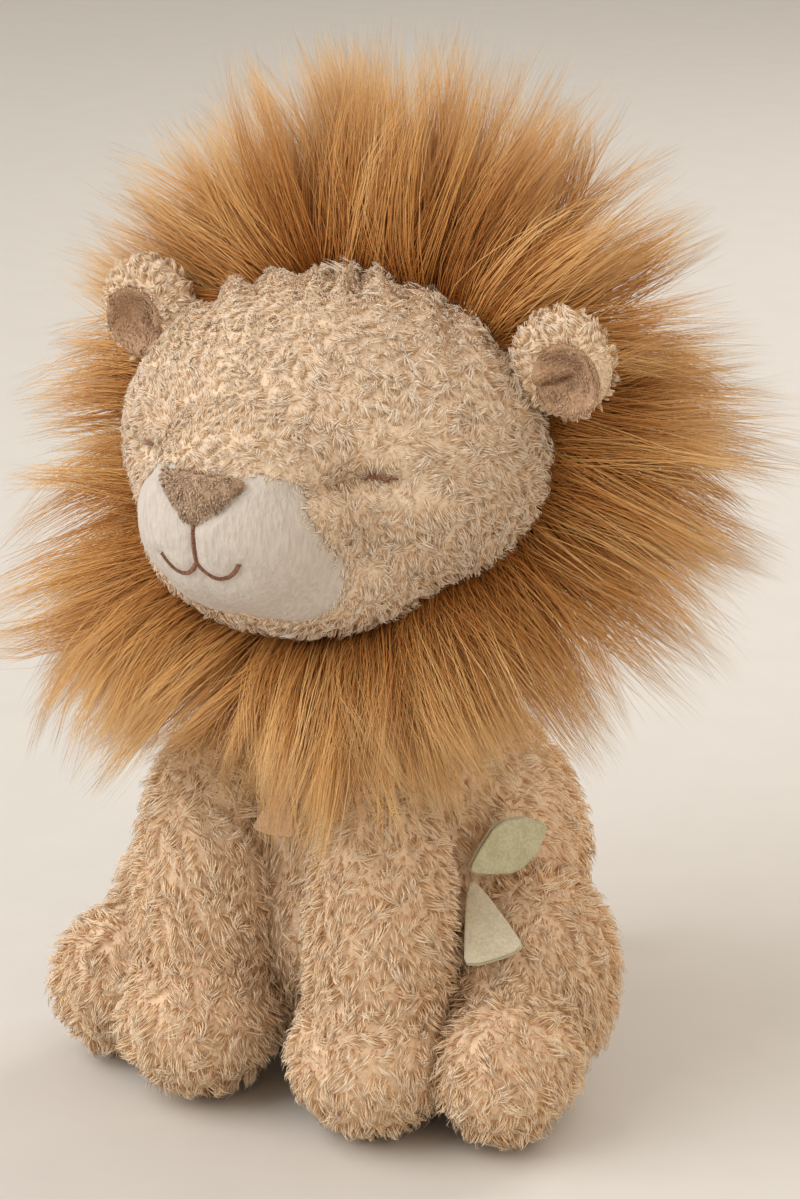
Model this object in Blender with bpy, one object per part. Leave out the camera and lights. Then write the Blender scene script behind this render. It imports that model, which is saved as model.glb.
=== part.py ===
"""Stuffed toy lion, sitting, with a long fur ruff round its head.

The toy faces -Y and its left flank is at +X. Every cover is a shell round its own stuffing,
and the limbs, ears, tail and leaves are sewn on where they touch what carries them.
"""
import math

import bmesh
import bpy
from mathutils import Matrix, Vector

# Cloth, thread and seams
pile_wall = 0.0025
seam_gap = 0.0003
thread_radius = 0.0006
leaf_cloth = 0.0008
nose_pile = 0.0018
cut_overrun = 0.02

# Head: skull, jaw and muzzle swell out of one stuffed cover
skull_width, skull_depth, skull_height = 0.100, 0.080, 0.076
skull_y, skull_z = 0.024, 0.1465
jaw_width, jaw_depth, jaw_height = 0.072, 0.060, 0.044
jaw_y, jaw_drop = 0.008, 0.017
muzzle_width, muzzle_depth, muzzle_height = 0.058, 0.057, 0.050
muzzle_y, muzzle_drop = -0.003, 0.006

# White panel, nose and stitching on the muzzle
panel_half_width, panel_top, panel_bottom = 0.0250, 0.1520, 0.1175
nose_half_width, nose_height = 0.0100, 0.0100
mouth_drop, smile_half_width, smile_dip = 0.0080, 0.0092, 0.0032
eye_half_spacing, eye_z, eye_half_width, eye_dip = 0.0270, 0.1487, 0.0048, 0.0012
stem_share = 0.98
# Half outlines from the middle line outwards, as shares of half the width and of the height
panel_shares = [
    (0.62, 0.0), (0.86, 0.10), (1.0, 0.38), (0.98, 0.62), (0.90, 0.84), (0.74, 0.96),
    (0.50, 1.0), (0.25, 0.98),
]
nose_shares = [(0.16, 0.0), (0.62, 0.42), (0.96, 0.78), (0.92, 0.95), (0.60, 1.0)]
smile_shares = [(0.0, 0.0), (0.14, 0.55), (0.32, 0.95), (0.52, 1.0), (0.74, 0.78), (1.0, 0.05)]
pointed_leaf_shares = [
    (0.10, 0.02), (0.55, 0.22), (0.96, 0.45), (1.0, 0.60), (0.72, 0.82), (0.10, 1.0),
]
cut_leaf_shares = [
    (0.08, 0.0), (0.42, 0.28), (0.74, 0.62), (1.0, 0.93), (0.60, 0.99), (0.20, 1.0),
]

# Ears
ear_width, ear_thickness, ear_lift, ear_y = 0.024, 0.009, 0.0175, 0.030
ear_out = 0.010
ear_cup_width, ear_cup_depth, lining_cloth = 0.0165, 0.006, 0.0014

# Neck plug
neck_radius, neck_y, neck_z, neck_gap = 0.019, 0.037, 0.103, 0.0005

# Body
belly_width, belly_depth, belly_height = 0.092, 0.092, 0.090
belly_y = 0.048
chest_width, chest_depth, chest_height = 0.072, 0.072, 0.068
chest_y, chest_z = 0.038, 0.066
collar_width, collar_depth, collar_height = 0.054, 0.052, 0.066
collar_y, collar_z = 0.040, 0.075
foot_flat = 0.0005
bean_bag_width, bean_bag_height = 0.056, 0.020

# Front legs
front_leg_x, front_leg_y = 0.022, 0.005
front_leg_width, front_leg_height = 0.036, 0.088
front_paw_width, front_paw_depth, front_paw_height = 0.039, 0.046, 0.038
front_paw_forward, front_heart_share = 0.0025, 0.6
front_hinge_y, front_hinge_z = 0.012, 0.086

# Hind legs
hind_foot_x, hind_foot_y = 0.049, 0.012
hind_foot_width, hind_foot_depth, hind_foot_height = 0.034, 0.041, 0.037
thigh_x, thigh_y = 0.043, 0.034
thigh_width, thigh_depth, thigh_height = 0.038, 0.052, 0.056
hind_hinge_x, hind_hinge_y = 0.041, 0.058
paw_clearance = 0.0020
sole_seam_z = 0.010

# Mane: how far its locks reach round the face and hang in front, and where its rings lie
mane_z, mane_reach, mane_drop, mane_lock_count, mane_lock_depth = 0.1455, 0.082, 0.073, 30, 0.009
mane_root_y, mane_tip_y, mane_back_y, mane_nape_y, mane_cap_y = 0.037, 0.052, 0.068, 0.070, 0.076
fringe_inner_y, fringe_root_y, fringe_tip_y, fringe_back_y = 0.004, 0.000, -0.027, 0.008
neck_room_width, neck_room_depth, neck_room_height = 0.072, 0.066, 0.052
fringe_width_share = 0.90
# The rings, front to back, with the y at which each crosses the crown and the fringe
mane_rings = [
    ("front_root", mane_root_y, fringe_inner_y),
    ("front_rim", mane_root_y, fringe_root_y),
    ("tips", mane_tip_y, fringe_tip_y),
    ("back_rim", mane_back_y, fringe_back_y),
    ("nape", mane_nape_y, mane_nape_y),
]
# How far a ring round the skull lies to the side, up and down, as shares of the skull's half sizes
ring_shares = {
    "front_root": (0.60, 0.63, 0.63),
    "front_rim": (1.08, 1.26, 1.06),
    "back_rim": (1.12, 1.32, 1.13),
    "nape": (0.68, 0.89, 0.58),
}

# Tail
tail_radius, tail_root_z, tail_out, tail_drop = 0.0045, 0.040, 0.018, 0.016
tuft_width, tuft_height = 0.015, 0.022

# Leaves
leaf_seam_x, leaf_seam_y, leaf_seam_z = 0.0345, 0.0190, 0.0575
green_leaf_length, green_leaf_width = 0.0200, 0.0120
beige_leaf_length, beige_leaf_width = 0.0190, 0.0130
tan_leaf_length, tan_leaf_width, tan_leaf_top_z = 0.0110, 0.0105, 0.0760
green_way, beige_way, beige_face = (0.46, 0.81, 0.36), (0.57, -0.46, -0.68), (0.48, -0.83, 0.29)
tan_way, tan_face = (0, -0.45, -1), (0, -1, 0)
beige_leaf_shift, leaf_clearance = 0.0004, 0.0005

# The middle of the whole toy from front to back, which stands over the origin
plan_middle_y = 0.0431

# How finely the forms are divided: round the form, and from pole to pole
cover_segments, cover_rings = 18, 12
face_segments, face_rings = 24, 16
neck_segments, neck_rings = 20, 12
small_segments, small_rings = 16, 10
mane_lock_steps = 4
blend_power = 10

colours = {
    "curly_fleece": (0.80, 0.66, 0.50, 0.9),
    "mane_fur": (0.62, 0.38, 0.19, 0.7),
    "white_plush": (0.90, 0.86, 0.80, 0.85),
    "nose_plush": (0.45, 0.34, 0.25, 0.85),
    "brown_thread": (0.22, 0.10, 0.05, 0.6),
    "ear_plush": (0.74, 0.57, 0.43, 0.85),
    "stuffing": (0.93, 0.92, 0.90, 0.95),
    "bean_cloth": (0.75, 0.73, 0.68, 0.9),
    "green_felt": (0.52, 0.52, 0.33, 0.9),
    "cream_felt": (0.76, 0.70, 0.56, 0.9),
    "tan_felt": (0.66, 0.46, 0.30, 0.9),
}


def clear_scene():
    for old in list(bpy.data.objects):
        bpy.data.objects.remove(old, do_unlink=True)


def new_collection(name):
    collection = bpy.data.collections.new(name)
    bpy.context.scene.collection.children.link(collection)
    return collection


clear_scene()
lion = new_collection("plush_lion")
cutters = new_collection("cutters")
stand = bpy.data.objects.new("stand", None)
stand.location = (0, -plan_middle_y, 0)
lion.objects.link(stand)


def material(name):
    """The named finish, made once."""
    found = bpy.data.materials.get(name)
    if found:
        return found
    red, green, blue, roughness = colours[name]
    made = bpy.data.materials.new(name)
    made.use_nodes = True
    shader = made.node_tree.nodes["Principled BSDF"]
    shader.inputs["Base Color"].default_value = (red, green, blue, 1)
    shader.inputs["Roughness"].default_value = roughness
    shader.inputs["Metallic"].default_value = 0
    return made


def place(name, mesh, finish=None, pivot=(0, 0, 0)):
    """Link a mesh as a sub-part with its origin on its pivot, or as a cutter if it has no finish."""
    piece = bpy.data.objects.new(name, mesh)
    mesh.transform(Matrix.Translation(-Vector(pivot)))
    piece.location = pivot
    piece.parent = stand
    if finish:
        lion.objects.link(piece)
        mesh.materials.append(material(finish))
        mesh.shade_smooth()
    else:
        cutters.objects.link(piece)
        piece.hide_render = True
        piece.display_type = "WIRE"
    return piece


def change(piece, other, operation):
    """Cut a piece with another, join them, or keep what they share."""
    step = piece.modifiers.new(operation.lower() + "_" + other.name, "BOOLEAN")
    step.operation = operation
    step.solver = "EXACT"
    step.object = other


def other_side(piece, finish):
    """The right-hand twin of a left-hand piece, mirrored in its finished shape."""
    seen = piece.evaluated_get(bpy.context.evaluated_depsgraph_get())
    mesh = bpy.data.meshes.new_from_object(seen)
    mesh.transform(Matrix.Translation(piece.location))
    mesh.transform(Matrix.Diagonal((-1, 1, 1, 1)))
    mesh.flip_normals()
    mesh.materials.clear()
    pivot = Vector((-piece.location.x, piece.location.y, piece.location.z))
    return place(piece.name.replace("left", "right"), mesh, finish, pivot)


def cut(piece, *others):
    for other in others:
        change(piece, other, "DIFFERENCE")


def keep(piece, other):
    change(piece, other, "INTERSECT")


def exit_distance(start, direction, centre, radii):
    """How far along a direction a point inside an ellipsoid leaves it."""
    point = [(start[i] - centre[i]) / radii[i] for i in range(3)]
    way = [direction[i] / radii[i] for i in range(3)]
    a = sum(w * w for w in way)
    b = sum(p * w for p, w in zip(point, way))
    c = sum(p * p for p in point) - 1
    return (-b + math.sqrt(b * b - a * c)) / a


def split_quads(mesh):
    """Split each quad along the same diagonal, so that a grown copy of a form never crosses it."""
    build = bmesh.new()
    build.from_mesh(mesh)
    bmesh.ops.triangulate(build, faces=build.faces, quad_method="FIXED")
    build.to_mesh(mesh)
    build.free()


class Form:
    """A stuffed form: ellipsoidal lobes that swell out of one heart and blend into each other."""

    def __init__(self, heart, lobes):
        self.heart = Vector(heart)
        self.lobes = [(Vector(centre), Vector(radii)) for centre, radii in lobes]

    def reach(self, direction, grow=0.0):
        total = 0.0
        for centre, radii in self.lobes:
            wide = [r + grow for r in radii]
            total += exit_distance(self.heart, direction, centre, wide) ** blend_power
        return total ** (1 / blend_power)

    def mesh(self, name, grow=0.0, segments=cover_segments, rings=cover_rings):
        bpy.ops.mesh.primitive_uv_sphere_add(segments=segments, ring_count=rings, radius=1)
        ball = bpy.context.object
        made = ball.data
        bpy.data.objects.remove(ball)
        made.name = name
        for vertex in made.vertices:
            direction = vertex.co.normalized()
            vertex.co = self.heart + direction * self.reach(direction, grow)
        split_quads(made)
        return made

    def front(self, x, z, grow=0.0):
        """The point of the form's front, at -Y, that shows at this x and z."""
        low, high = -skull_depth, self.heart.y
        for _ in range(40):
            middle = (low + high) / 2
            ray = Vector((x, middle, z)) - self.heart
            outside = ray.length > self.reach(ray.normalized(), grow)
            low, high = (middle, high) if outside else (low, middle)
        return Vector((x, high, z))


def half(*sizes):
    return tuple(size / 2 for size in sizes)


head_form = Form(
    (0, (skull_y + muzzle_y) / 2, skull_z - jaw_drop / 2),
    [
        ((0, skull_y, skull_z), half(skull_width, skull_depth, skull_height)),
        ((0, jaw_y, skull_z - jaw_drop), half(jaw_width, jaw_depth, jaw_height)),
        ((0, muzzle_y, skull_z - muzzle_drop), half(muzzle_width, muzzle_depth, muzzle_height)),
    ],
)
body_form = Form(
    (0, (belly_y + collar_y) / 2, (belly_height / 2 + chest_z) / 2),
    [
        ((0, belly_y, belly_height / 2 - foot_flat), half(belly_width, belly_depth, belly_height)),
        ((0, chest_y, chest_z), half(chest_width, chest_depth, chest_height)),
        ((0, collar_y, collar_z), half(collar_width, collar_depth, collar_height)),
    ],
)
front_leg_form = Form(
    (front_leg_x, front_leg_y - front_paw_forward, front_paw_height * front_heart_share),
    [
        ((front_leg_x, front_leg_y, front_leg_height / 2 - foot_flat),
         half(front_leg_width, front_leg_width, front_leg_height)),
        ((front_leg_x, front_leg_y - front_paw_forward, front_paw_height / 2 - foot_flat),
         half(front_paw_width, front_paw_depth, front_paw_height)),
    ],
)
hind_leg_form = Form(
    ((hind_foot_x + thigh_x) / 2, (hind_foot_y + thigh_y) / 2, hind_foot_height / 2),
    [
        ((hind_foot_x, hind_foot_y, hind_foot_height / 2 - foot_flat),
         half(hind_foot_width, hind_foot_depth, hind_foot_height)),
        ((thigh_x, thigh_y, thigh_height / 2 - foot_flat),
         half(thigh_width, thigh_depth, thigh_height)),
    ],
)


def cutter_form(name, form, grow, segments=cover_segments, rings=cover_rings):
    return place(name, form.mesh(name, grow, segments, rings))


def ball(name, centre, radii, finish=None, pivot=(0, 0, 0), segments=small_segments,
         rings=small_rings):
    """An ellipsoid, as a sub-part or as a cutter."""
    bpy.ops.mesh.primitive_uv_sphere_add(segments=segments, ring_count=rings, radius=1)
    made = bpy.context.object
    mesh = made.data
    bpy.data.objects.remove(made)
    mesh.name = name
    mesh.transform(Matrix.Translation(Vector(centre)) @ Matrix.Diagonal((*radii, 1)))
    return place(name, mesh, finish, pivot)


def box(name, low, high):
    """A box cutter between two corners."""
    mesh = bpy.data.meshes.new(name)
    build = bmesh.new()
    bmesh.ops.create_cube(build, size=1)
    middle = (Vector(low) + Vector(high)) / 2
    sides = Vector(high) - Vector(low)
    bmesh.ops.transform(build, matrix=Matrix.Translation(middle) @ Matrix.Diagonal((*sides, 1)),
                        verts=build.verts)
    build.to_mesh(mesh)
    build.free()
    return place(name, mesh)


def prism(name, outline, front_y, back_y):
    """A cutter with an outline of (x, z) points, run from front_y to back_y."""
    mesh = bpy.data.meshes.new(name)
    build = bmesh.new()
    face = build.faces.new([build.verts.new((x, front_y, z)) for x, z in outline])
    pulled = bmesh.ops.extrude_face_region(build, geom=[face])["geom"]
    moved = [v for v in pulled if isinstance(v, bmesh.types.BMVert)]
    bmesh.ops.translate(build, verts=moved, vec=(0, back_y - front_y, 0))
    bmesh.ops.recalc_face_normals(build, faces=build.faces)
    build.to_mesh(mesh)
    build.free()
    return place(name, mesh)


def tube(name, points, radius, finish=None, pivot=(0, 0, 0), sides=2):
    """A round thread or cord along points, with closed ends, made a mesh."""
    curve = bpy.data.curves.new(name, "CURVE")
    curve.dimensions = "3D"
    curve.bevel_depth = radius
    curve.bevel_resolution = sides
    curve.use_fill_caps = True
    line = curve.splines.new("POLY")
    line.points.add(len(points) - 1)
    for knot, point in zip(line.points, points):
        knot.co = (*point, 1)
    drawn = bpy.data.objects.new(name + "_line", curve)
    bpy.context.scene.collection.objects.link(drawn)
    seen = drawn.evaluated_get(bpy.context.evaluated_depsgraph_get())
    mesh = bpy.data.meshes.new_from_object(seen)
    bpy.data.objects.remove(drawn)
    build = bmesh.new()
    build.from_mesh(mesh)
    bmesh.ops.remove_doubles(build, verts=build.verts, dist=radius / 100)
    bmesh.ops.recalc_face_normals(build, faces=build.faces)
    build.to_mesh(mesh)
    build.free()
    return place(name, mesh, finish, pivot)


# The floor trims every form that rests on it
reach_out = belly_width * 2
floor = box("floor_cutter", (-reach_out, -reach_out, -cut_overrun), (reach_out, reach_out, 0))
neck_centre = (0, neck_y, neck_z)
neck_socket = ball("neck_socket", neck_centre, (neck_radius + neck_gap,) * 3,
                   segments=neck_segments, rings=neck_rings)


def make_body():
    inside = cutter_form("body_inside", body_form, -pile_wall)
    skin = place("body_skin", body_form.mesh("body_skin"), "curly_fleece")
    cut(skin, inside, neck_socket, floor)
    bag_centre = (0, belly_y, bean_bag_height / 2 + pile_wall)
    bag_radii = half(bean_bag_width, bean_bag_width, bean_bag_height)
    pocket = ball("bean_pocket", bag_centre, [r + seam_gap for r in bag_radii])
    stuffing = place(
        "body_stuffing",
        body_form.mesh("body_stuffing", -pile_wall - seam_gap),
        "stuffing",
    )
    cut(stuffing, neck_socket, pocket)
    bag = ball("bean_bag", bag_centre, bag_radii, "bean_cloth")
    keep(bag, cutter_form("bean_shell", body_form, -pile_wall - seam_gap))


def make_neck():
    ball("neck_plug", neck_centre, (neck_radius,) * 3, "curly_fleece", neck_centre,
         neck_segments, neck_rings)


def both_sides(shares, half_width, bottom, height):
    """A closed outline, alike on both sides, of shares of half its width and of its height."""
    right = [(across * half_width, bottom + up * height) for across, up in shares]
    return right + [(-x, z) for x, z in reversed(right)]


def panel_outline(grow=0.0):
    """The white panel: flat below, swelling to two lobes that rise beside the nose."""
    height = panel_top - panel_bottom + 2 * grow
    return both_sides(panel_shares, panel_half_width + grow, panel_bottom - grow, height)


def thread_on_head(name, outline):
    """A stitched line laid on the head's front along (x, z) points."""
    rise = seam_gap + thread_radius
    return tube(name, [head_form.front(x, z, rise) for x, z in outline], thread_radius,
                "brown_thread")


def make_head():
    inside = cutter_form("head_inside", head_form, -pile_wall, face_segments, face_rings)
    front_y = muzzle_y - muzzle_depth
    hole = prism("panel_hole", panel_outline(seam_gap), front_y, skull_y)
    patch = prism("panel_patch", panel_outline(), front_y, skull_y)
    skin = place("head_skin", head_form.mesh("head_skin", 0, face_segments, face_rings),
                 "curly_fleece", neck_centre)
    cut(skin, inside, hole, neck_socket)
    panel = place("muzzle_panel", head_form.mesh("muzzle_panel", 0, face_segments, face_rings),
                  "white_plush", neck_centre)
    cut(panel, inside)
    keep(panel, patch)
    stuffing = place(
        "head_stuffing",
        head_form.mesh("head_stuffing", -pile_wall - seam_gap, face_segments, face_rings),
        "stuffing", neck_centre,
    )
    cut(stuffing, neck_socket)
    under = cutter_form("nose_under", head_form, seam_gap, face_segments, face_rings)
    nose_patch = place(
        "nose_patch", head_form.mesh("nose_patch", seam_gap + nose_pile, face_segments, face_rings),
        "nose_plush", neck_centre,
    )
    cut(nose_patch, under)
    outline = both_sides(nose_shares, nose_half_width, panel_top - nose_height, nose_height)
    keep(nose_patch, prism("nose_cutter", outline, front_y, skull_y))


def make_stitching():
    nose_bottom = panel_top - nose_height - seam_gap - thread_radius
    lip = nose_bottom - mouth_drop
    half_smile = [(across * smile_half_width, lip - dip * smile_dip) for across, dip in smile_shares]
    smile = [(-x, z) for x, z in reversed(half_smile[1:])] + half_smile
    mouth = thread_on_head("mouth_stitching", smile)
    steps = 4
    stem = [
        head_form.front(0, lip + mouth_drop * n / steps, seam_gap + thread_radius)
        for n in range(steps + 1)
    ]
    change(mouth, tube("mouth_stem", stem, thread_radius * stem_share), "UNION")
    for side, word in ((1, "left"), (-1, "right")):
        arc = []
        for n in range(-steps, steps + 1):
            share = n / steps
            x = side * (eye_half_spacing + share * eye_half_width)
            arc.append((x, eye_z - eye_dip * (1 - share * share)))
        thread_on_head("eye_stitching_" + word, arc)


def ear_frame():
    """The seam point of the left ear on the skull and the way out of it, in the plane of the ear."""
    slice_share = math.sqrt(1 - ((ear_y - skull_y) / (skull_depth / 2)) ** 2)
    wide, tall = skull_width / 2 * slice_share, skull_height / 2 * slice_share
    up = ear_lift
    out = wide * math.sqrt(1 - (up / tall) ** 2)
    normal = Vector((out / wide ** 2, 0, up / tall ** 2)).normalized()
    return Vector((out, ear_y, skull_z + up)), normal


def ear_hinge():
    """The front edge of the left ear's seam, on which the ear folds."""
    seam, normal = ear_frame()
    half_seam = ear_thickness / 2 * math.sqrt(1 - (2 * ear_out / ear_width) ** 2)
    return seam - Vector((0, half_seam, 0))


def make_ears():
    seam, normal = ear_frame()
    outside = cutter_form("ear_seat", head_form, seam_gap, face_segments, face_rings)
    for side, word in ((1, "left"), (-1, "right")):
        flip = Vector((side, 1, 1))
        centre = (seam + normal * ear_out) * flip
        hinge = ear_hinge() * flip
        ear = ball("ear_" + word, centre, half(ear_width, ear_thickness, ear_width),
                   "curly_fleece", hinge)
        mouth_centre = centre - Vector((0, ear_thickness / 2, 0))
        cup = ball("ear_cup_" + word, mouth_centre, half(ear_cup_width, ear_cup_depth, ear_cup_width))
        cut(ear, cup, outside)
        shrink = 2 * seam_gap
        lining = ball(
            "ear_lining_" + word, mouth_centre,
            half(ear_cup_width - shrink, ear_cup_depth - shrink, ear_cup_width - shrink),
            "ear_plush", hinge,
        )
        hollow = ball(
            "ear_hollow_" + word, mouth_centre - Vector((0, lining_cloth, 0)),
            half(ear_cup_width, ear_cup_depth - shrink, ear_cup_width),
        )
        cut(lining, hollow, outside)


def smooth(share):
    share = min(1.0, max(0.0, share))
    return share * share * (3 - 2 * share)


def mane_point(ring, angle):
    """One point of a ring of the mane, its angle anticlockwise from the left flank."""
    name, crown_y, fringe_y = ring
    across, up = math.cos(angle), math.sin(angle)
    low = smooth(-up)
    if name == "tips":
        turn = angle / (2 * math.pi) * mane_lock_count
        notch = mane_lock_depth * abs(2 * (turn % 1) - 1)
        side = (mane_reach - notch) * (1 + (fringe_width_share - 1) * low)
        tall = (mane_reach if up > 0 else mane_drop) - notch
    else:
        side_share, above_share, below_share = ring_shares[name]
        side = side_share * skull_width / 2
        tall = (above_share if up > 0 else below_share) * skull_height / 2
    return (across * side, crown_y + (fringe_y - crown_y) * low, mane_z + up * tall)


def make_mane():
    """A ruff lofted through its rings, seated on the skull, with room for the neck plug."""
    steps = mane_lock_count * mane_lock_steps
    build = bmesh.new()
    loops = []
    for ring in mane_rings:
        loops.append([
            build.verts.new(mane_point(ring, 2 * math.pi * n / steps)) for n in range(steps)
        ])
    front = build.verts.new((0, mane_root_y, mane_z))
    back = build.verts.new((0, mane_cap_y, mane_z))
    for n in range(steps):
        after = (n + 1) % steps
        build.faces.new((front, loops[0][n], loops[0][after]))
        build.faces.new((back, loops[-1][after], loops[-1][n]))
        for inner, outer in zip(loops, loops[1:]):
            build.faces.new((inner[n], outer[n], outer[after], inner[after]))
    bmesh.ops.recalc_face_normals(build, faces=build.faces)
    mesh = bpy.data.meshes.new("mane")
    build.to_mesh(mesh)
    build.free()
    mane = place("mane", mesh, "mane_fur", neck_centre)
    seat = cutter_form("mane_seat", head_form, seam_gap, face_segments, face_rings)
    room = ball("neck_room", neck_centre, half(neck_room_width, neck_room_depth, neck_room_height))
    cut(mane, seat, room)


def make_leg(kind, leg, carriers, pivot):
    """A left limb: its cover and sole are one shell parted at the sole seam, round its stuffing."""
    inside = cutter_form(f"{kind}_inside", leg, -pile_wall)
    for carrier, clearance in carriers:
        cut(inside, cutter_form(f"{kind}_wall", carrier, clearance + pile_wall))
    below = box(f"{kind}_below", (-reach_out, -reach_out, -cut_overrun),
                (reach_out, reach_out, sole_seam_z + seam_gap))
    above = box(f"{kind}_above", (-reach_out, -reach_out, sole_seam_z),
                (reach_out, reach_out, reach_out))
    skin = place(f"{kind}_skin_left", leg.mesh(f"{kind}_skin"), "curly_fleece", pivot)
    sole = place(f"{kind}_sole_left", leg.mesh(f"{kind}_sole"), "curly_fleece", pivot)
    stuffing = place(f"{kind}_stuffing_left", leg.mesh(f"{kind}_stuffing", -pile_wall - seam_gap),
                     "stuffing", pivot)
    for carrier, clearance in carriers:
        seat = cutter_form(f"{kind}_seat", carrier, clearance)
        cut(skin, seat)
        cut(sole, seat)
        cut(stuffing, cutter_form(f"{kind}_core", carrier, clearance + pile_wall + seam_gap))
    cut(skin, inside, below)
    cut(sole, inside, above, floor)
    other_side(skin, "curly_fleece")
    other_side(sole, "curly_fleece")
    other_side(stuffing, "stuffing")


def make_legs():
    make_leg("front_leg", front_leg_form, [(body_form, seam_gap)],
             (front_leg_x, front_hinge_y, front_hinge_z))
    make_leg("hind_leg", hind_leg_form, [(body_form, seam_gap), (front_leg_form, paw_clearance)],
             (hind_hinge_x, hind_hinge_y, 0))


def make_tail():
    back_y = belly_y + belly_depth / 2
    root = Vector((0, back_y - tail_radius, tail_root_z))
    points = []
    for n in range(9):
        share = n / 8
        bend = share * math.pi / 2
        points.append(root + Vector((0, (tail_out + tail_radius) * math.sin(bend),
                                     -tail_drop * (1 - math.cos(bend)))))
    pivot = (0, back_y, tail_root_z)
    tail = tube("tail", points, tail_radius, "curly_fleece", pivot)
    tuft_centre = points[-1] - Vector((0, 0, tuft_height / 2 - tail_radius))
    tuft_radii = half(tuft_width, tuft_width, tuft_height)
    ball("tail_tuft", tuft_centre, tuft_radii, "mane_fur", pivot)
    tuft_seat = ball("tuft_seat", tuft_centre, [r + seam_gap for r in tuft_radii])
    cut(tail, cutter_form("tail_seat", body_form, seam_gap), tuft_seat)


def leaf_frame(along, outward):
    """The leaf's own axes: across it, out of its face, and along it."""
    along = Vector(along).normalized()
    face = Vector(outward)
    face = (face - along * face.dot(along)).normalized()
    return along.cross(face), face, along


def leaf_ply(name, outline, seam, axes, depth, finish):
    """One ply of a leaf: its outline stands on the seam, its back a depth behind the leaf's face."""
    across, face, along = axes
    mesh = bpy.data.meshes.new(name)
    build = bmesh.new()
    base = build.faces.new([build.verts.new((x, depth, z)) for x, z in outline])
    pulled = bmesh.ops.extrude_face_region(build, geom=[base])["geom"]
    moved = [v for v in pulled if isinstance(v, bmesh.types.BMVert)]
    bmesh.ops.translate(build, verts=moved, vec=(0, leaf_cloth, 0))
    bmesh.ops.recalc_face_normals(build, faces=build.faces)
    frame = Matrix((across, -face, along)).transposed().to_4x4()
    bmesh.ops.transform(build, matrix=Matrix.Translation(seam) @ frame, verts=build.verts)
    build.to_mesh(mesh)
    build.free()
    place(name, mesh, finish, seam)


def leaf_seam():
    """Where the flank leaves are sewn: out from the body by both plies, and the way out."""
    way = (Vector((leaf_seam_x, leaf_seam_y, leaf_seam_z)) - body_form.heart).normalized()
    return body_form.heart + way * body_form.reach(way, 2 * leaf_cloth + leaf_clearance), way


def beige_seam():
    """The cream leaf hangs below the green one, a little further out."""
    seam, out = leaf_seam()
    return seam + out * beige_leaf_shift - Vector((0, 0, 2 * leaf_cloth))


def make_leaves():
    behind = leaf_cloth + seam_gap
    seam, out = leaf_seam()
    green = both_sides(pointed_leaf_shares, green_leaf_width / 2, 0, green_leaf_length)
    axes = leaf_frame(green_way, out)
    leaf_ply("leaf_green", green, seam, axes, 0, "green_felt")
    leaf_ply("leaf_green_backing", green, seam, axes, behind, "cream_felt")
    beige = both_sides(cut_leaf_shares, beige_leaf_width / 2, 0, beige_leaf_length)
    axes = leaf_frame(beige_way, beige_face)
    leaf_ply("leaf_beige", beige, beige_seam(), axes, 0, "cream_felt")
    leaf_ply("leaf_beige_backing", beige, beige_seam(), axes, behind, "green_felt")
    tan = both_sides(cut_leaf_shares, tan_leaf_width / 2, tan_leaf_length, -tan_leaf_length)
    chest = body_form.front(0, tan_leaf_top_z, seam_gap + leaf_cloth)
    leaf_ply("leaf_tan", tan, chest, leaf_frame(tan_way, tan_face), 0, "tan_felt")


make_body()
make_neck()
make_head()
make_stitching()
make_ears()
make_mane()
make_legs()
make_tail()
make_leaves()
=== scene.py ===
# %% [markdown]
# # A plush lion
# A stuffed toy is a few covers of cloth, filled and sewn together, and all of its charm is in the
# cloth. This one has curly fleece on the head and body, long fur round the face and short white
# plush at the mouth. The CAD model gives every size, so it is loaded first, and each piece here is
# made round one of its solids.

import math

import bpy
import numpy as np
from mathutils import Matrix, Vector, noise
from mathutils.bvhtree import BVHTree
from mathutils.kdtree import KDTree


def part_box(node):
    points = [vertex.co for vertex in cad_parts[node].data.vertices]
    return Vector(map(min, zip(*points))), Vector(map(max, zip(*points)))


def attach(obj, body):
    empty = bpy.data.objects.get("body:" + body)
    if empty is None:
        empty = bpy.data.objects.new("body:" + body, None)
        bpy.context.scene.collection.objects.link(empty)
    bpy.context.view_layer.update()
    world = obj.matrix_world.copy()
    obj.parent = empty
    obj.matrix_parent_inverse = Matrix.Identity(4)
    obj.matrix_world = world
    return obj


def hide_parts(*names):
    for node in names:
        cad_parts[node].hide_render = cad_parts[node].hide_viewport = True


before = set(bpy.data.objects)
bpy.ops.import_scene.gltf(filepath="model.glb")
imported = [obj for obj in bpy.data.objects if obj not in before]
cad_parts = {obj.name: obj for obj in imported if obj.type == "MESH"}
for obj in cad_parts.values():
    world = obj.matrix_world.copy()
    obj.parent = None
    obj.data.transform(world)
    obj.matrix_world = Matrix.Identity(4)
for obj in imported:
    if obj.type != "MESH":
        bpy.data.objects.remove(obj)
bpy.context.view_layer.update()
bpy.ops.object.select_all(action="DESELECT")
noise.seed_set(1)  # noise_vector is shifted by the clock until it is given a seed
mm = 0.001
middle_y = 43.1  # the toy's middle stands over the origin, this far behind its front feet

# %% [markdown]
# ## Where the lion is seen from
# The photograph looks slightly down on the toy from its front left, through a long lens. The
# camera is placed by its angle round the toy, its angle above the floor and its distance, since
# those three can be read off the picture.

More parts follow.
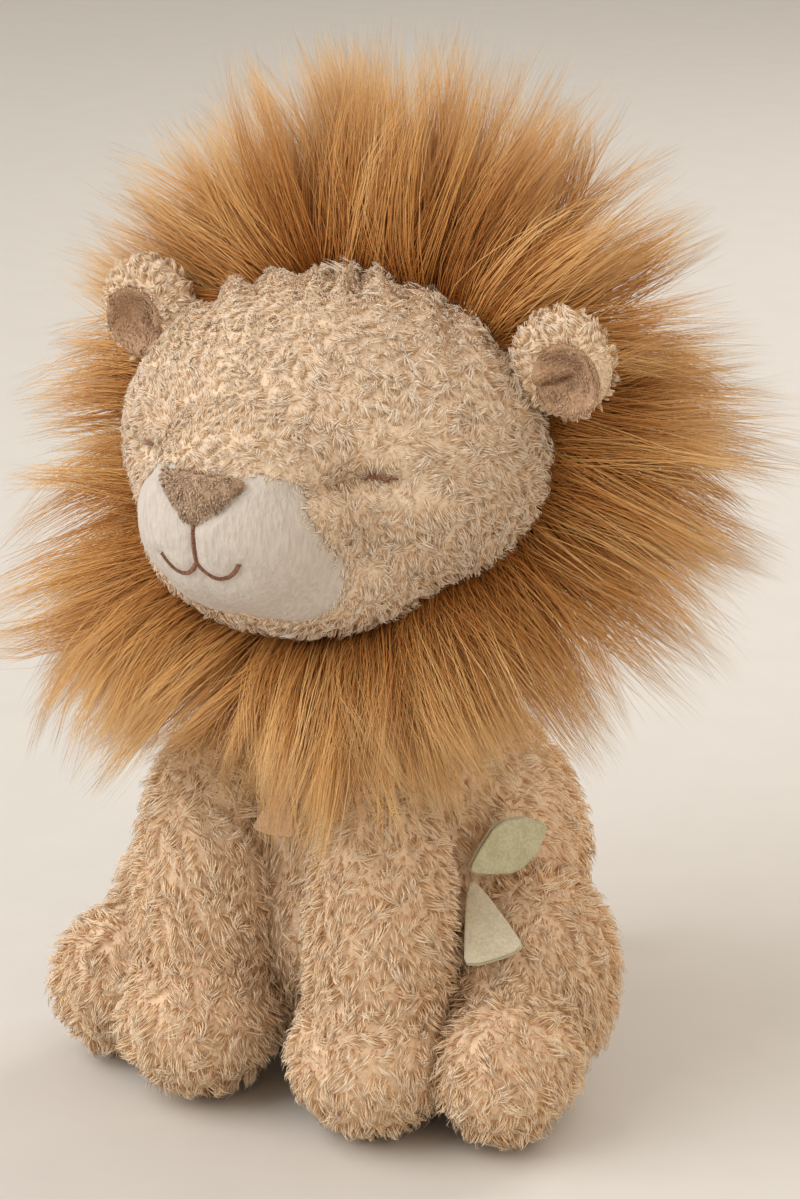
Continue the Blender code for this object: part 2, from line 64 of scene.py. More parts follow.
# %% The camera
view_azimuth, view_elevation, view_distance = math.radians(30), math.radians(17), 0.85
view_target = Vector((0.026, 0.006 - middle_y * mm, 0.1200))
view_way = Vector((
    math.sin(view_azimuth) * math.cos(view_elevation),
    -math.cos(view_azimuth) * math.cos(view_elevation),
    math.sin(view_elevation),
))
bpy.ops.object.camera_add(
    location=view_target + view_way * view_distance,
    rotation=view_way.to_track_quat("Z", "Y").to_euler(),
)
camera = bpy.context.object
camera.name = "camera"
camera.data.sensor_fit = "VERTICAL"
camera.data.sensor_height = 36
camera.data.lens = 122.5
bpy.context.scene.camera = camera
bpy.context.scene.view_settings.view_transform = "Standard"
print("camera at", [round(c, 3) for c in camera.location])

# %% [markdown]
# ## Light
# Fur shows its depth when one large soft lamp is stronger than the rest. The key lamp stands high
# on the left of the camera, a wide fill opens the shadows from the right, and a weak lamp behind
# picks out the tips of the ruff.


# %% Three soft lamps
def soft_lamp(name, place, size, energy, colour):
    way = Vector(place) - view_target
    bpy.ops.object.light_add(
        type="AREA", location=place, rotation=way.to_track_quat("Z", "Y").to_euler()
    )
    lamp = bpy.context.object
    lamp.name = name
    lamp.data.size = size
    lamp.data.energy = energy
    lamp.data.color = colour
    print(f"{name}: {size} m wide, {energy} W")


soft_lamp("key_lamp", (-0.72, -0.98, 1.08), 1.5, 20.5, (0.99, 0.985, 0.98))
soft_lamp("fill_lamp", (1.25, -0.65, 0.75), 1.2, 4, (1.0, 0.80, 0.58))
soft_lamp("rim_lamp", (0.25, 1.10, 0.95), 0.8, 8, (1.0, 0.96, 0.91))

# %% [markdown]
# ## A sky for the shadows
# The world lights the toy a little from all round, so that no fold goes black. Seen from low down
# it stands behind the floor, and there it would look like a bright band. A Mix Shader therefore
# shows the camera a second sky, about as dark as the floor is far away. Gloss sees the same one.

# %% A pale sky
sky_light = ((1.0, 0.90, 0.78, 1), 0.56)
sky_seen = ((1.0, 0.91, 0.77, 1), 0.39)

sky = bpy.data.worlds.new("pale_sky")
sky.use_nodes = True
sky_nodes, sky_links = sky.node_tree.nodes, sky.node_tree.links
lit_by, seen_as = sky_nodes["Background"], sky_nodes.new("ShaderNodeBackground")
for background, (colour, strength) in ((lit_by, sky_light), (seen_as, sky_seen)):
    background.inputs["Color"].default_value = colour
    background.inputs["Strength"].default_value = strength
ray, pick = sky_nodes.new("ShaderNodeLightPath"), sky_nodes.new("ShaderNodeMixShader")
seen = ray.outputs["Is Camera Ray"]
for kind in ("Is Glossy Ray", "Is Transmission Ray"):
    either = sky_nodes.new("ShaderNodeMath")
    either.operation = "MAXIMUM"
    sky_links.new(seen, either.inputs[0])
    sky_links.new(ray.outputs[kind], either.inputs[1])
    seen = either.outputs[0]
sky_links.new(seen, pick.inputs[0])
sky_links.new(lit_by.outputs[0], pick.inputs[1])
sky_links.new(seen_as.outputs[0], pick.inputs[2])
sky_links.new(pick.outputs[0], sky_nodes["World Output"].inputs["Surface"])
bpy.context.scene.world = sky
print("sky strengths, as light and as seen:", sky_light[1], sky_seen[1])

# %% [markdown]
# ## Finishes
# A material is a small program, so it is easier to read as sums. One class wraps a node's socket
# and turns +, - and * into Math nodes, also with a plain number on the left, as in 1 - mask.
# Building each Math node by hand would hide the sum in a page of links.


# %% Sums on sockets
class Wire:
    """A node's output that can be used in sums."""

    def __init__(self, finish, socket):
        self.finish, self.socket = finish, socket

    def sum(self, operation, first, second):
        return self.finish.node("Math", {"operation": operation}, {0: first, 1: second})

    def __add__(self, other):
        return self.sum("ADD", self, other)

    def __sub__(self, other):
        return self.sum("SUBTRACT", self, other)

    def __rsub__(self, other):
        return self.sum("SUBTRACT", other, self)

    def __mul__(self, other):
        return self.sum("MULTIPLY", self, other)

    __radd__, __rmul__ = __add__, __mul__

    def between(self, low, high):
        """0 below low, 1 above high, and smooth between them."""
        return self.finish.node(
            "MapRange", {"interpolation_type": "SMOOTHSTEP"}, {0: self, 1: low, 2: high}
        )


print("sums on sockets by", Wire.__name__)

# %% [markdown]
# ## Every other node
# A Finish is one cloth's material while it is wired up. A single method makes any node: it sets
# what kind of sum or ramp the node is first, because that can change its sockets, and then fills
# or links them. Numbers that are the same all over the cloth are set on the shader itself.


# %% Nodes by one method
class Finish:
    """A cloth's material while it is wired up."""

    def __init__(self, name, **sockets):
        self.material = bpy.data.materials.new(name)
        self.material.use_nodes = True
        self.tree = self.material.node_tree
        self.shader = self.tree.nodes["Principled BSDF"]
        for socket, value in sockets.items():
            self.shader.inputs[socket.replace("_", " ")].default_value = value

    def node(self, kind, settings=None, sockets=None, output=0):
        """Any node: its settings are set before its sockets are filled or linked."""
        made = self.tree.nodes.new("ShaderNode" + kind)
        for setting, value in (settings or {}).items():
            if setting == "stops":
                while len(made.color_ramp.elements) < len(value):
                    made.color_ramp.elements.new(0.5)
                for stop, (place, colour) in zip(made.color_ramp.elements, value):
                    stop.position, stop.color = place, (*colour, 1)
            else:
                setattr(made, setting, value)
        for socket, value in (sockets or {}).items():
            self.feed(made.inputs[socket], value)
        return Wire(self, made.outputs[output])

    def feed(self, socket, value):
        if isinstance(value, Wire):
            self.tree.links.new(value.socket, socket)
        else:
            socket.default_value = value

    def blend(self, factor, first, second):
        """Two colours mixed by a factor."""
        return self.node("Mix", {"data_type": "RGBA"}, {0: factor, 6: first, 7: second}, 2)

    def give(self, **sockets):
        for socket, value in sockets.items():
            self.feed(self.shader.inputs[socket.replace("_", " ")], value)
        return self.material


print("nodes are made by", Finish.node.__qualname__)

# %% [markdown]
# ## How a strand takes its colour
# Pile looks dark at the root, where little light comes in, and that shade is painted into each
# strand's colour; it is paler towards the tip, and no two locks are dyed quite alike. Each strand of
# the model carries both facts in its UV map: u says how light the lock is, and v runs from the root
# to the tip. The material needs nothing else, so it stays the same however the toy is turned.


# %% The finish of any pile
def pile_finish(name, shades, deep, tip_pale, pale, roughness=0.8, specular=0.0):
    """Pile whose lock shades run through a ramp, with painted shade at its roots and paler tips."""
    cloth = Finish(name, Roughness=roughness, Specular_IOR_Level=specular)
    strand = cloth.node("UVMap", {"uv_map": "strand"})
    lock = cloth.node("SeparateXYZ", sockets={0: strand}, output=0)
    along = cloth.node("SeparateXYZ", sockets={0: strand}, output=1)
    dyed = cloth.node("ValToRGB", {"stops": shades}, {0: lock})
    # painted shade: the dye is darkened and warmed towards the root, where little light gets in
    root = cloth.node("VectorMath", {"operation": "MULTIPLY"}, {0: dyed, 1: deep})
    grown = cloth.blend(along.between(0.0, 0.65), root, dyed)
    worn = cloth.blend(along.between(0.45, 1.0) * tip_pale, grown, (*pale, 1))
    print(f"{name}: {len(shades)} shades")
    return cloth.give(Base_Color=worn)


# %% [markdown]
# ## The colours of the piles, with painted shade
# The head's fleece is brushed, and it is painted a little paler and cooler than the body's, whose
# darker, warmer copy of the same fleece is painted shade. The ruff runs from deep brown in its gaps
# to gold where the light comes through. A ramp of four shades a cloth is enough, since every lock
# picks its own place on it. Matt cloth has no gloss, and only the ruff shines.

# %% Fleece and ruff
fleece_pile = pile_finish(
    "fleece_pile",
    [(0.0, (0.84, 0.60, 0.39)), (0.35, (0.91, 0.72, 0.52)), (0.7, (0.95, 0.81, 0.65)),
     (1.0, (0.97, 0.88, 0.78))],
    deep=(0.99, 0.90, 0.78), tip_pale=0.4, pale=(0.98, 0.90, 0.80),
)
# painted shade: a darker, warmer copy of the head's fleece, for the shade on the body and legs
body_fleece_pile = pile_finish(
    "body_fleece_pile",
    [(0.0, (0.86, 0.60, 0.38)), (0.35, (0.93, 0.72, 0.50)), (0.7, (0.97, 0.81, 0.62)),
     (1.0, (0.99, 0.88, 0.74))],
    deep=(0.99, 0.88, 0.74), tip_pale=0.4, pale=(0.99, 0.89, 0.76),
)
mane_pile = pile_finish(
    "mane_pile",
    [(0.0, (0.42, 0.17, 0.040)), (0.3, (0.64, 0.30, 0.085)), (0.65, (0.82, 0.46, 0.155)),
     (1.0, (0.95, 0.64, 0.29))],
    deep=(0.74, 0.57, 0.40), tip_pale=0.50, pale=(0.97, 0.72, 0.40), roughness=0.5,
    specular=0.25,
)

# %% [markdown]
# ## Growing pile
# Fibres can't be pulled out of a cloth one by one by hand, so pile is grown by formula: roots are
# scattered evenly over a cover, gathered into tufts, and each strand is a thin closed blade with a
# few faces along its path. Hair curves would be lighter, but they are lost when a model is handed on
# as a mesh, and closed blades are kept.


# %% Roots on a cover
def surface_of(cover):
    mesh = cover.data
    mesh.calc_loop_triangles()
    points = np.zeros(len(mesh.vertices) * 3, np.float32)
    mesh.vertices.foreach_get("co", points)
    normals = np.zeros(len(mesh.vertices) * 3, np.float32)
    mesh.vertices.foreach_get("normal", normals)
    corners = np.zeros(len(mesh.loop_triangles) * 3, np.int32)
    mesh.loop_triangles.foreach_get("vertices", corners)
    return points.reshape(-1, 3) / mm, normals.reshape(-1, 3), corners.reshape(-1, 3)


def scatter(cover, per_square_mm, seed, keep=None):
    """Roots spread over a cover, in millimetres, each with its normal."""
    chance = np.random.default_rng(seed)
    points, normals, corners = surface_of(cover)
    a, b, c = (points[corners[:, i]] for i in range(3))
    areas = np.linalg.norm(np.cross(b - a, c - a), axis=1) / 2
    if keep is not None:
        areas = areas * keep((a + b + c) / 3)
    count = int(areas.sum() * per_square_mm)
    picked = chance.choice(len(corners), count, p=areas / areas.sum())
    u, v = chance.random(count), chance.random(count)
    fold = u + v > 1
    u[fold], v[fold] = 1 - u[fold], 1 - v[fold]
    share = np.stack([1 - u - v, u, v], axis=1)[:, :, None]
    roots = (points[corners[picked]] * share).sum(axis=1)
    ways = (normals[corners[picked]] * share).sum(axis=1)
    return roots, unit(ways)


def unit(vectors):
    return vectors / np.maximum(np.linalg.norm(vectors, axis=-1, keepdims=True), 1e-9)


print("a way of length 1:", unit(np.array([3.0, 4.0, 0.0])))

# %% [markdown]
# ## Which strand belongs to which tuft
# Tufts stand a few millimetres apart, never closer. Points are thrown on the cover far too densely,
# and each one that is kept clears its own surroundings, which spaces them evenly on any shape. A
# strand then belongs to the nearest tuft. A k-d tree finds neighbours quickly.


# %% Points kept apart, and their neighbours
def thin_out(points, spacing):
    """Indices of points that stay at least a spacing apart."""
    tree = KDTree(len(points))
    for n, point in enumerate(points):
        tree.insert(point, n)
    tree.balance()
    gone, kept = np.zeros(len(points), bool), []
    for n, point in enumerate(points):
        if not gone[n]:
            kept.append(n)
            gone[[found[1] for found in tree.find_range(point, spacing)]] = True
    return np.array(kept)


def nearest(points, centres):
    tree = KDTree(len(centres))
    for n, centre in enumerate(centres):
        tree.insert(centre, n)
    tree.balance()
    return np.array([tree.find(point)[1] for point in points])


row = np.array([[0.0, 0, 0], [1, 0, 0], [2, 0, 0], [3, 0, 0]])
print("of points at 0, 1, 2, 3, kept 1.5 apart:", thin_out(row, 1.5))

# %% [markdown]
# ## One strand
# A fibre is round, but a tuft of them is flat where it lies on the cloth. Each strand is a blade
# with three sides and its broad side outwards, which catches the light as a lick of fleece does
# and takes half the faces of a tube. It is closed at its root, and its walls meet in its tip.


# %% The faces of one blade
strand_sides = 3
shade_width = 0.012  # how much of u one strand takes, going round it
strand_flat = 0.45  # a strand's thickness as a share of its width


def blade_faces(steps):
    """Corners, face sizes and (side, step) places in the UV map of a blade with some steps."""
    tip = (steps - 1) * strand_sides
    corners, sizes, uvs = [], [], []
    for step in range(steps - 2):
        for n in range(strand_sides):
            after = (n + 1) % strand_sides
            low, high = step * strand_sides, (step + 1) * strand_sides
            corners += [low + n, low + after, high + after, high + n]
            sizes.append(4)
            uvs += [(n, step), (n + 1, step), (n + 1, step + 1), (n, step + 1)]
    for n in range(strand_sides):
        low = (steps - 2) * strand_sides
        corners += [low + n, low + (n + 1) % strand_sides, tip]
        sizes.append(3)
        uvs += [(n, steps - 2), (n + 1, steps - 2), (n + 0.5, steps - 1)]
    corners += [0, 2, 1]
    sizes.append(3)
    uvs += [(0, 0), (3, 0), (1.5, 0.2)]
    return np.array(corners), np.array(sizes), np.array(uvs, float)


print("a blade of 5 steps has", len(blade_faces(5)[1]), "faces")

# %% [markdown]
# ## Thousands of strands as one mesh
# One object for each strand would choke Blender, so a whole pile is one mesh. The blade's faces
# are worked out once and copied with numpy, and the mesh is filled by foreach_set, which takes a
# moment where a loop would take minutes. The UV map is written twice, because the second one, of
# the name OFBake, is what the finish is baked to when the model is handed on.


# %% Strands as one mesh
def strand_mesh(name, paths, radii, shades, facing, seed):
    """Closed blades along paths (strands, points, xyz) in mm, their broad side towards facing."""
    count, steps, _ = paths.shape
    chance = np.random.default_rng(seed)
    along = unit(np.gradient(paths, axis=1))
    broad = unit(facing[:, None] + 0.25 * chance.normal(size=(count, 1, 3)))
    side = unit(np.cross(broad, along))
    other = np.cross(along, side) * strand_flat
    turns = math.pi / 2 + np.arange(strand_sides) * 2 * math.pi / strand_sides
    ring = (
        np.cos(turns)[None, None, :, None] * side[:, :-1, None]
        + np.sin(turns)[None, None, :, None] * other[:, :-1, None]
    )
    walls = paths[:, :-1, None] + ring * radii[:, :, None, None]
    vertices = np.concatenate([walls.reshape(count, -1, 3), paths[:, -1:]], axis=1)
    corners, sizes, uvs = blade_faces(steps)
    per = vertices.shape[1]
    corners = (corners[None] + np.arange(count)[:, None] * per).ravel()
    sizes = np.tile(sizes, count)
    u = np.clip(shades, 0.005, 0.985)[:, None] + uvs[None, :, 0] * (shade_width / strand_sides)
    v = np.broadcast_to(uvs[None, :, 1] / (steps - 1), u.shape)
    mesh = bpy.data.meshes.new(name)
    mesh.vertices.add(count * per)
    mesh.vertices.foreach_set("co", (vertices.reshape(-1) * mm).astype(np.float32))
    mesh.loops.add(len(corners))
    mesh.loops.foreach_set("vertex_index", corners.astype(np.int32))
    mesh.polygons.add(len(sizes))
    mesh.polygons.foreach_set("loop_start", (np.cumsum(sizes) - sizes).astype(np.int32))
    mesh.update(calc_edges=True)
    mesh.shade_smooth()
    for layer in ("strand", "OFBake"):
        made = mesh.uv_layers.new(name=layer)
        made.uv.foreach_set("vector", np.stack([u, v], axis=2).ravel().astype(np.float32))
    return mesh


def place_strands(name, paths, radii, shades, facing, finish, body, seed=1):
    mesh = strand_mesh(name, paths, radii, shades, facing, seed)
    piece = bpy.data.objects.new(name, mesh)
    bpy.context.scene.collection.objects.link(piece)
    mesh.materials.append(finish)
    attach(piece, body)
    triangles = len(paths) * ((paths.shape[1] - 2) * strand_sides * 2 + strand_sides + 1)
    print(f"{name}: {len(paths)} strands, {triangles} triangles")
    return piece


print("strands are", strand_flat, "as thick as they are wide")


# %% [markdown]
# ## Tufts
# Curly fleece is knitted with crimped yarn, so its fibres gather into little commas, each a few
# millimetres long and curling its own way. A tuft is laid as one curved spine, and its strands
# start apart and close in on the spine's tip.


# %% How a tuft lies
swirl_scale = 16.0  # mm over which the pile turns from one way to another
run_evenly, run_late = 0.35, 0.65  # how a strand divides its run


def swirl(points, scale, seed):
    """A smooth field of directions, for pile that lies this way and that."""
    shift = Vector((seed * 7.3, seed * 3.1, seed * 5.7))
    return np.array([noise.noise_vector(Vector(p) / scale + shift) for p in points])


def tuft_habits(centres, ways, comb, length, height, curl, noisy, grow, seed, chance):
    """For each tuft: the way it lies, the way across, and its run, rise and bend in mm."""
    lie = comb(centres) + noisy * swirl(centres, swirl_scale, seed)
    lie = lie + 0.35 * chance.normal(size=centres.shape)
    lie = unit(lie - ways * (lie * ways).sum(1, keepdims=True))
    run = length * chance.uniform(0.75, 1.25, len(centres))
    rise = height * chance.uniform(0.7, 1.3, len(centres))
    bend = curl * chance.normal(size=len(centres)) * length * 0.5
    share = grow(centres) if grow else 1.0
    return lie, np.cross(ways, lie), run * share, rise * share, bend * share


print("the pile turns about every", swirl_scale, "mm")

# %% [markdown]
# ## The strands of a tuft
# Each strand follows its tuft's curl from its own root. It rises quickly and then lies over, bows
# to the tuft's side, and is drawn towards the tuft's middle as it goes, so the tuft ends in one
# soft point. A small wobble keeps neighbours from being copies.


# %% A strand's path in its tuft
def tuft_paths(roots, ways, centres, centre_ways, home, habits, length, points, gather, chance):
    """Paths (strands, points, xyz) in mm; home says which tuft each strand belongs to."""
    lie, across, run, rise, bend = (habit[home][:, None] for habit in habits)
    run, rise, bend = run[:, :, None], rise[:, :, None], bend[:, :, None]
    t = np.linspace(0, 1, points)[None, :, None] ** 0.7
    own = chance.uniform(0.7, 1.15, (len(roots), 1, 1))
    up = rise * (1 - (1 - t) ** 2)
    out = run * (run_evenly * t + run_late * t ** 1.6)
    bow = bend * t ** 2
    way = ways[:, None] * 0.6 + centre_ways[home][:, None] * 0.4
    path = roots[:, None] + own * (up * way + out * lie + bow * across)
    to_middle = centres[home] - roots
    to_middle = to_middle - ways * (to_middle * ways).sum(1, keepdims=True)
    path = path + gather * to_middle[:, None] * t ** 1.3
    wobble = chance.normal(size=(len(roots), 1, 3)) * length * 0.09
    return path + wobble * np.sin(t * math.pi * chance.uniform(1.0, 2.4, (len(roots), 1, 1)))


print("a strand takes", run_evenly, "of its run evenly and", run_late, "of it late")

# %% [markdown]
# ## A cover's pile
# One function dresses any cover, so that head, body, legs, ears and tail differ only in how long,
# how thick and how curly their pile is. It gives each tuft a shade, and each strand in it a shade
# close to that, which is what makes curls stand out from each other. A large pile is split into
# parts, so that no piece has too many faces.


# %% Curly pile on a cover
def tufts(cover, name, body, slot, finish, density, spacing, length, height, comb, seed,
          keep=None, points=5, thick=0.2, curl=0.9, gather=0.72, noisy=0.9, shade=None, parts=1,
          grow=None, tone_spread=0.10, front=False):
    """Pile on a cover: every strand belongs to a tuft that curls its own way."""
    chance = np.random.default_rng(seed)
    roots, ways = scatter(cover, density, seed, keep)
    if front:
        roots, ways = roots[ways[:, 1] < 0.15], ways[ways[:, 1] < 0.15]
    spread, spread_ways = scatter(cover, 6 / spacing ** 2, seed + 1, keep)
    kept = thin_out(spread, spacing)
    centres, centre_ways = spread[kept], spread_ways[kept]
    home = nearest(roots, centres)
    habits = tuft_habits(
        centres, centre_ways, comb, length, height, curl, noisy, grow, seed, chance
    )
    path = tuft_paths(
        roots, ways, centres, centre_ways, home, habits, length, points, gather, chance
    )
    taper = np.interp(np.linspace(0, 1, points - 1), [0, 0.5, 1], [0.8, 1.0, 0.85])[None]
    radii = thick * chance.uniform(0.75, 1.2, (len(roots), 1)) * taper
    tone = 0.5 + 0.12 * chance.normal(size=len(centres))[home]
    tone = tone + tone_spread * chance.normal(size=len(roots))
    if shade is not None:
        tone = tone + shade(roots)
    for part in range(parts):
        mine = np.arange(len(roots)) % parts == part if parts > 1 else slice(None)
        label = name if parts == 1 else f"{name}_{part + 1}"
        place_strands(
            label, path[mine], radii[mine], tone[mine], ways[mine], finish, body, seed
        )
    print(f"{name}: {len(centres)} tufts")


# %% [markdown]
# ## Stuffed forms
# The head, body and legs are stuffed until they are tight, so each is a group of round lobes that
# run into each other. The lobes are added as spheres at their real sizes, joined, and remeshed
# into one skin, which is what a modeller does in clay. The skin is then drawn in by the depth of
# its pile, so that the tips of the pile come back to the size of the toy.


# %% One skin from several lobes
def finish_modifier(piece, kind, **settings):
    step = piece.modifiers.new(kind.lower(), kind)
    for setting, value in settings.items():
        setattr(step, setting, value)
    bpy.context.view_layer.objects.active = piece
    bpy.ops.object.modifier_apply(modifier=step.name)


def stuffed_form(name, lobes, inset, voxel=1.6, smoothing=8):
    """Lobes given as (centre, size) in mm, y measured from the front feet, as one closed skin."""
    bpy.ops.object.select_all(action="DESELECT")
    made = []
    for (x, y, z), (width, depth, height) in lobes:
        bpy.ops.mesh.primitive_uv_sphere_add(
            segments=48, ring_count=32, radius=0.5, location=(x * mm, (y - middle_y) * mm, z * mm),
            scale=(width * mm, depth * mm, height * mm),
        )
        made.append(bpy.context.object)
    for lobe in made:
        lobe.select_set(True)
    bpy.context.view_layer.objects.active = made[0]
    bpy.ops.object.join()
    form = bpy.context.object
    form.name = form.data.name = name
    bpy.ops.object.transform_apply(location=True, rotation=True, scale=True)
    finish_modifier(form, "REMESH", mode="VOXEL", voxel_size=voxel * mm)
    finish_modifier(form, "SMOOTH", factor=0.5, iterations=smoothing)
    finish_modifier(form, "DISPLACE", strength=-inset * mm, mid_level=0.0)
    form.data.shade_smooth()
    print(f"{name}: {len(lobes)} lobes, {len(form.data.vertices)} vertices")
    return form


# %% [markdown]
# ## The knitted ground
# Pile is sewn into a knitted cloth, which shows where tufts part. It takes the pile's own colour,
# a little darker, which is painted shade for the gaps between tufts, and a fine noise mottles both
# its colour and its surface, as fibres that lie over it do. A flat colour there would look like
# plastic between the curls.


# %% A cover's dress and its ground
def dress(piece, finish, body, slot, *nodes):
    """Give a finished piece its material, the body it rides on and the nodes it stands for."""
    piece.data.materials.clear()
    piece.data.materials.append(finish)
    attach(piece, body)
    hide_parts(*nodes)
    return piece


def backing(name, colour, darker=0.8, relief=0.001, grain=(1.0, 1.0, 1.0)):
    """The knitted ground that shows between tufts, mottled as fibres lie over it."""
    cloth = Finish(name, Roughness=0.9, Specular_IOR_Level=0.0)
    place = cloth.node("TexCoord", output=3)
    drawn = cloth.node("VectorMath", {"operation": "MULTIPLY"}, {0: place, 1: grain})
    mottle = cloth.node("TexNoise", {}, {"Vector": drawn, "Scale": 800.0, "Detail": 3.0})
    dark = tuple(darker * c for c in colour)
    tone = cloth.blend(mottle.between(0.3, 0.7), (*dark, 1), (*colour, 1))
    bump = cloth.node("Bump", {}, {"Strength": 0.8, "Distance": relief, "Height": mottle})
    print(f"{name}: ground colour {colour}")
    return cloth.give(Base_Color=tone, Normal=bump)


# painted shade: the head's ground is a little darker and warmer than its pile, for the gaps
fleece_ground = backing("fleece_ground", (0.91, 0.73, 0.55), 0.82)
# painted shade: the body's ground is warmer than the head's, for the same warm shade
body_ground = backing("body_fleece_ground", (0.94, 0.71, 0.50), 0.82)
# painted shade: dark brown for the shade deep in the ruff, under the cap's locks and the tail's tuft
mane_shade_ground = backing("mane_shade_ground", (0.36, 0.17, 0.07))

# %% [markdown]
# ## Shaping by hand
# A stuffed cover isn't quite round: stitches pull it in at the eyes, and cloth that is gathered at
# a seam lies in folds. Such places are pushed in or out along the surface, as a sculpting brush
# does, by a formula of where they are.


# %% A brush for covers
def toy(points):
    """Points with y measured from the front feet, as the sizes here are."""
    return points + np.array([0, middle_y, 0])


def carve(cover, amount):
    """Push a surface out along its normals by amount(points), in millimetres."""
    points, normals, corners = surface_of(cover)
    moved = points + normals * amount(toy(points))[:, None]
    cover.data.vertices.foreach_set("co", (moved * mm).astype(np.float32).ravel())
    cover.data.update()


def bell(distance, width):
    return np.exp(-((distance / width) ** 2))


def smooth_step(t):
    t = np.clip(t, 0, 1)
    return t * t * (3 - 2 * t)


def tree_of(piece):
    """A piece's surface, in millimetres, for rays to land on."""
    return BVHTree.FromPolygons(
        [tuple(v.co / mm) for v in piece.data.vertices],
        [tuple(p.vertices) for p in piece.data.polygons],
    )


print("a stroke 2 wide, at 0, 1, 2, 4 from its middle:", bell(np.array([0, 1, 2, 4]), 2).round(2))

# %% [markdown]
# ## The head
# The head is wider than it is tall, with a blunt muzzle. Its eyes are closed: thread drawn tight
# across each one pulls the fleece into a dent. Where the ruff's seam crosses the brow the fleece is
# gathered into short folds, and under the chin its two halves meet in a notch.

# %% Dents and folds of the head
eye_x, eye_z = 27.0, 148.7
fold_gap, fold_high = 9.6, 2.4  # from one fold to the next, and how high they stand
eye_deep, crease_deep, chin_deep = 3.0, 1.7, 1.8


def gathers(place):
    """How high each point stands in the folds that run forward from the ruff's seam."""
    x, y, z = place.T
    reach = smooth_step((y - 6) / 22) * smooth_step((z - 160) / 10)
    side = 1 - 0.6 * smooth_step((x - 5) / 20)
    turn = 2 * math.pi * (x + 0.55 * (y - 30)) / fold_gap
    turn = turn + 1.5 * np.sin(x / 8.0) + 0.8 * np.sin(x / 3.7)
    return reach * side * np.cos(turn) * (0.75 + 0.35 * np.sin(x / 4.3 + 1.0))


def head_shape(place):
    x, y, z = place.T
    front = smooth_step((20 - y) / 10)
    eyes = bell(np.abs(x) - eye_x, 7.0) * bell(z - eye_z, 3.2)
    lid = bell(np.abs(x) - 22, 8.0) * bell(z - eye_z - 1.0, 2.6)
    chin = bell(x, 1.7) * smooth_step((118 - z) / 3)
    drawn_in = eye_deep * front * eyes + crease_deep * front * lid + chin_deep * chin
    return fold_high * gathers(place) - drawn_in


print("folds", fold_gap, "mm apart, eyes", eye_deep, "mm deep")

# %% [markdown]
# ## The head cover
# Three lobes make the head: the wide skull, the cheeks under it and the muzzle in front. The dents
# and folds are pressed into the joined skin, because a remesh would blur them, and the pile that
# grows on it later follows them.

# %% The head cover
pile_depth = 2.6
skull = ((0, 24, 146.5), (100, 80, 76))
cheeks = ((0, 8, 129.5), (72, 60, 44))
snout = ((0, -5.7, 141), (56, 57, 49))
head_cover = stuffed_form("head_cover", [skull, cheeks, snout], pile_depth)
carve(head_cover, head_shape)
dress(head_cover, fleece_ground, "head", "curly_fleece", "head_skin", "head_stuffing")
head_tree = tree_of(head_cover)

# %% [markdown]
# ## The outlines of the patches
# The white panel is wide at its foot and narrow at the nose, and the nose is a triangle with round
# corners. Each outline is given once, for the toy's left half, as shares of its half width and its
# height, and mirrored. Only the lengths are in millimetres, so a patch can be resized alone.

# %% The outlines of the patches on the face
panel_low, panel_high, panel_half = 117.8, 152.3, 23.6
panel_side = [(0.62, 0.0), (0.86, 0.09), (0.98, 0.24), (1.0, 0.40), (0.93, 0.62), (0.81, 0.83),
              (0.68, 0.95), (0.48, 1.0), (0.25, 0.99)]
nose_side = [(0.10, 0.0), (0.26, 0.06), (0.52, 0.28), (0.80, 0.55), (0.97, 0.78), (0.98, 0.88),
             (0.84, 0.93), (0.42, 0.99)]
nose_low, nose_high, nose_half = 142.6, 151.6, 9.5


def both_sides(side, half, low, high):
    """A closed outline in (x, z), alike on both sides, from shares of its half width and height."""
    right = [(across * half, low + up * (high - low)) for across, up in side]
    return np.array(right + [(-x, z) for x, z in reversed(right)])


def edge_reach(outline, angle):
    """How far the outline lies from its middle at each angle."""
    middle = outline.mean(axis=0)
    steps = np.linspace(0, 1, 12, endpoint=False)[:, None]
    after = np.roll(outline, -1, axis=0)
    dense = np.concatenate([a * (1 - steps) + b * steps for a, b in zip(outline, after)]) - middle
    turns = np.arctan2(dense[:, 1], dense[:, 0])
    order = np.argsort(turns)
    turns, reach = turns[order], np.hypot(*dense[order].T)
    grid = np.linspace(-math.pi, math.pi, 361)[:-1]
    even = np.interp(grid, turns, reach, period=2 * math.pi)
    even = sum(np.roll(even, n) for n in range(-4, 5)) / 9
    return middle, np.interp(angle, grid, even, period=2 * math.pi)


panel_outline = both_sides(panel_side, panel_half, panel_low, panel_high)
nose_outline = both_sides(nose_side, nose_half, nose_low, nose_high)
print("panel outline:", len(panel_outline), "points; nose outline:", len(nose_outline))

# %% [markdown]
# ## A patch with a round edge
# A patch is easiest to make as a grid, because a grid bends evenly. Its square edge is drawn round
# into a circle and the circle is then drawn out to the patch's outline, so that the rows of faces
# follow the edge. A share of 0 is the patch's middle, and 1 is its edge.


# %% A grid drawn round
def inside_share(outline, x, z):
    """0 in the outline's middle, 1 on its edge."""
    middle = outline.mean(axis=0)
    angle = np.arctan2(z - middle[1], x - middle[0])
    return np.hypot(x - middle[0], z - middle[1]) / edge_reach(outline, angle)[1]


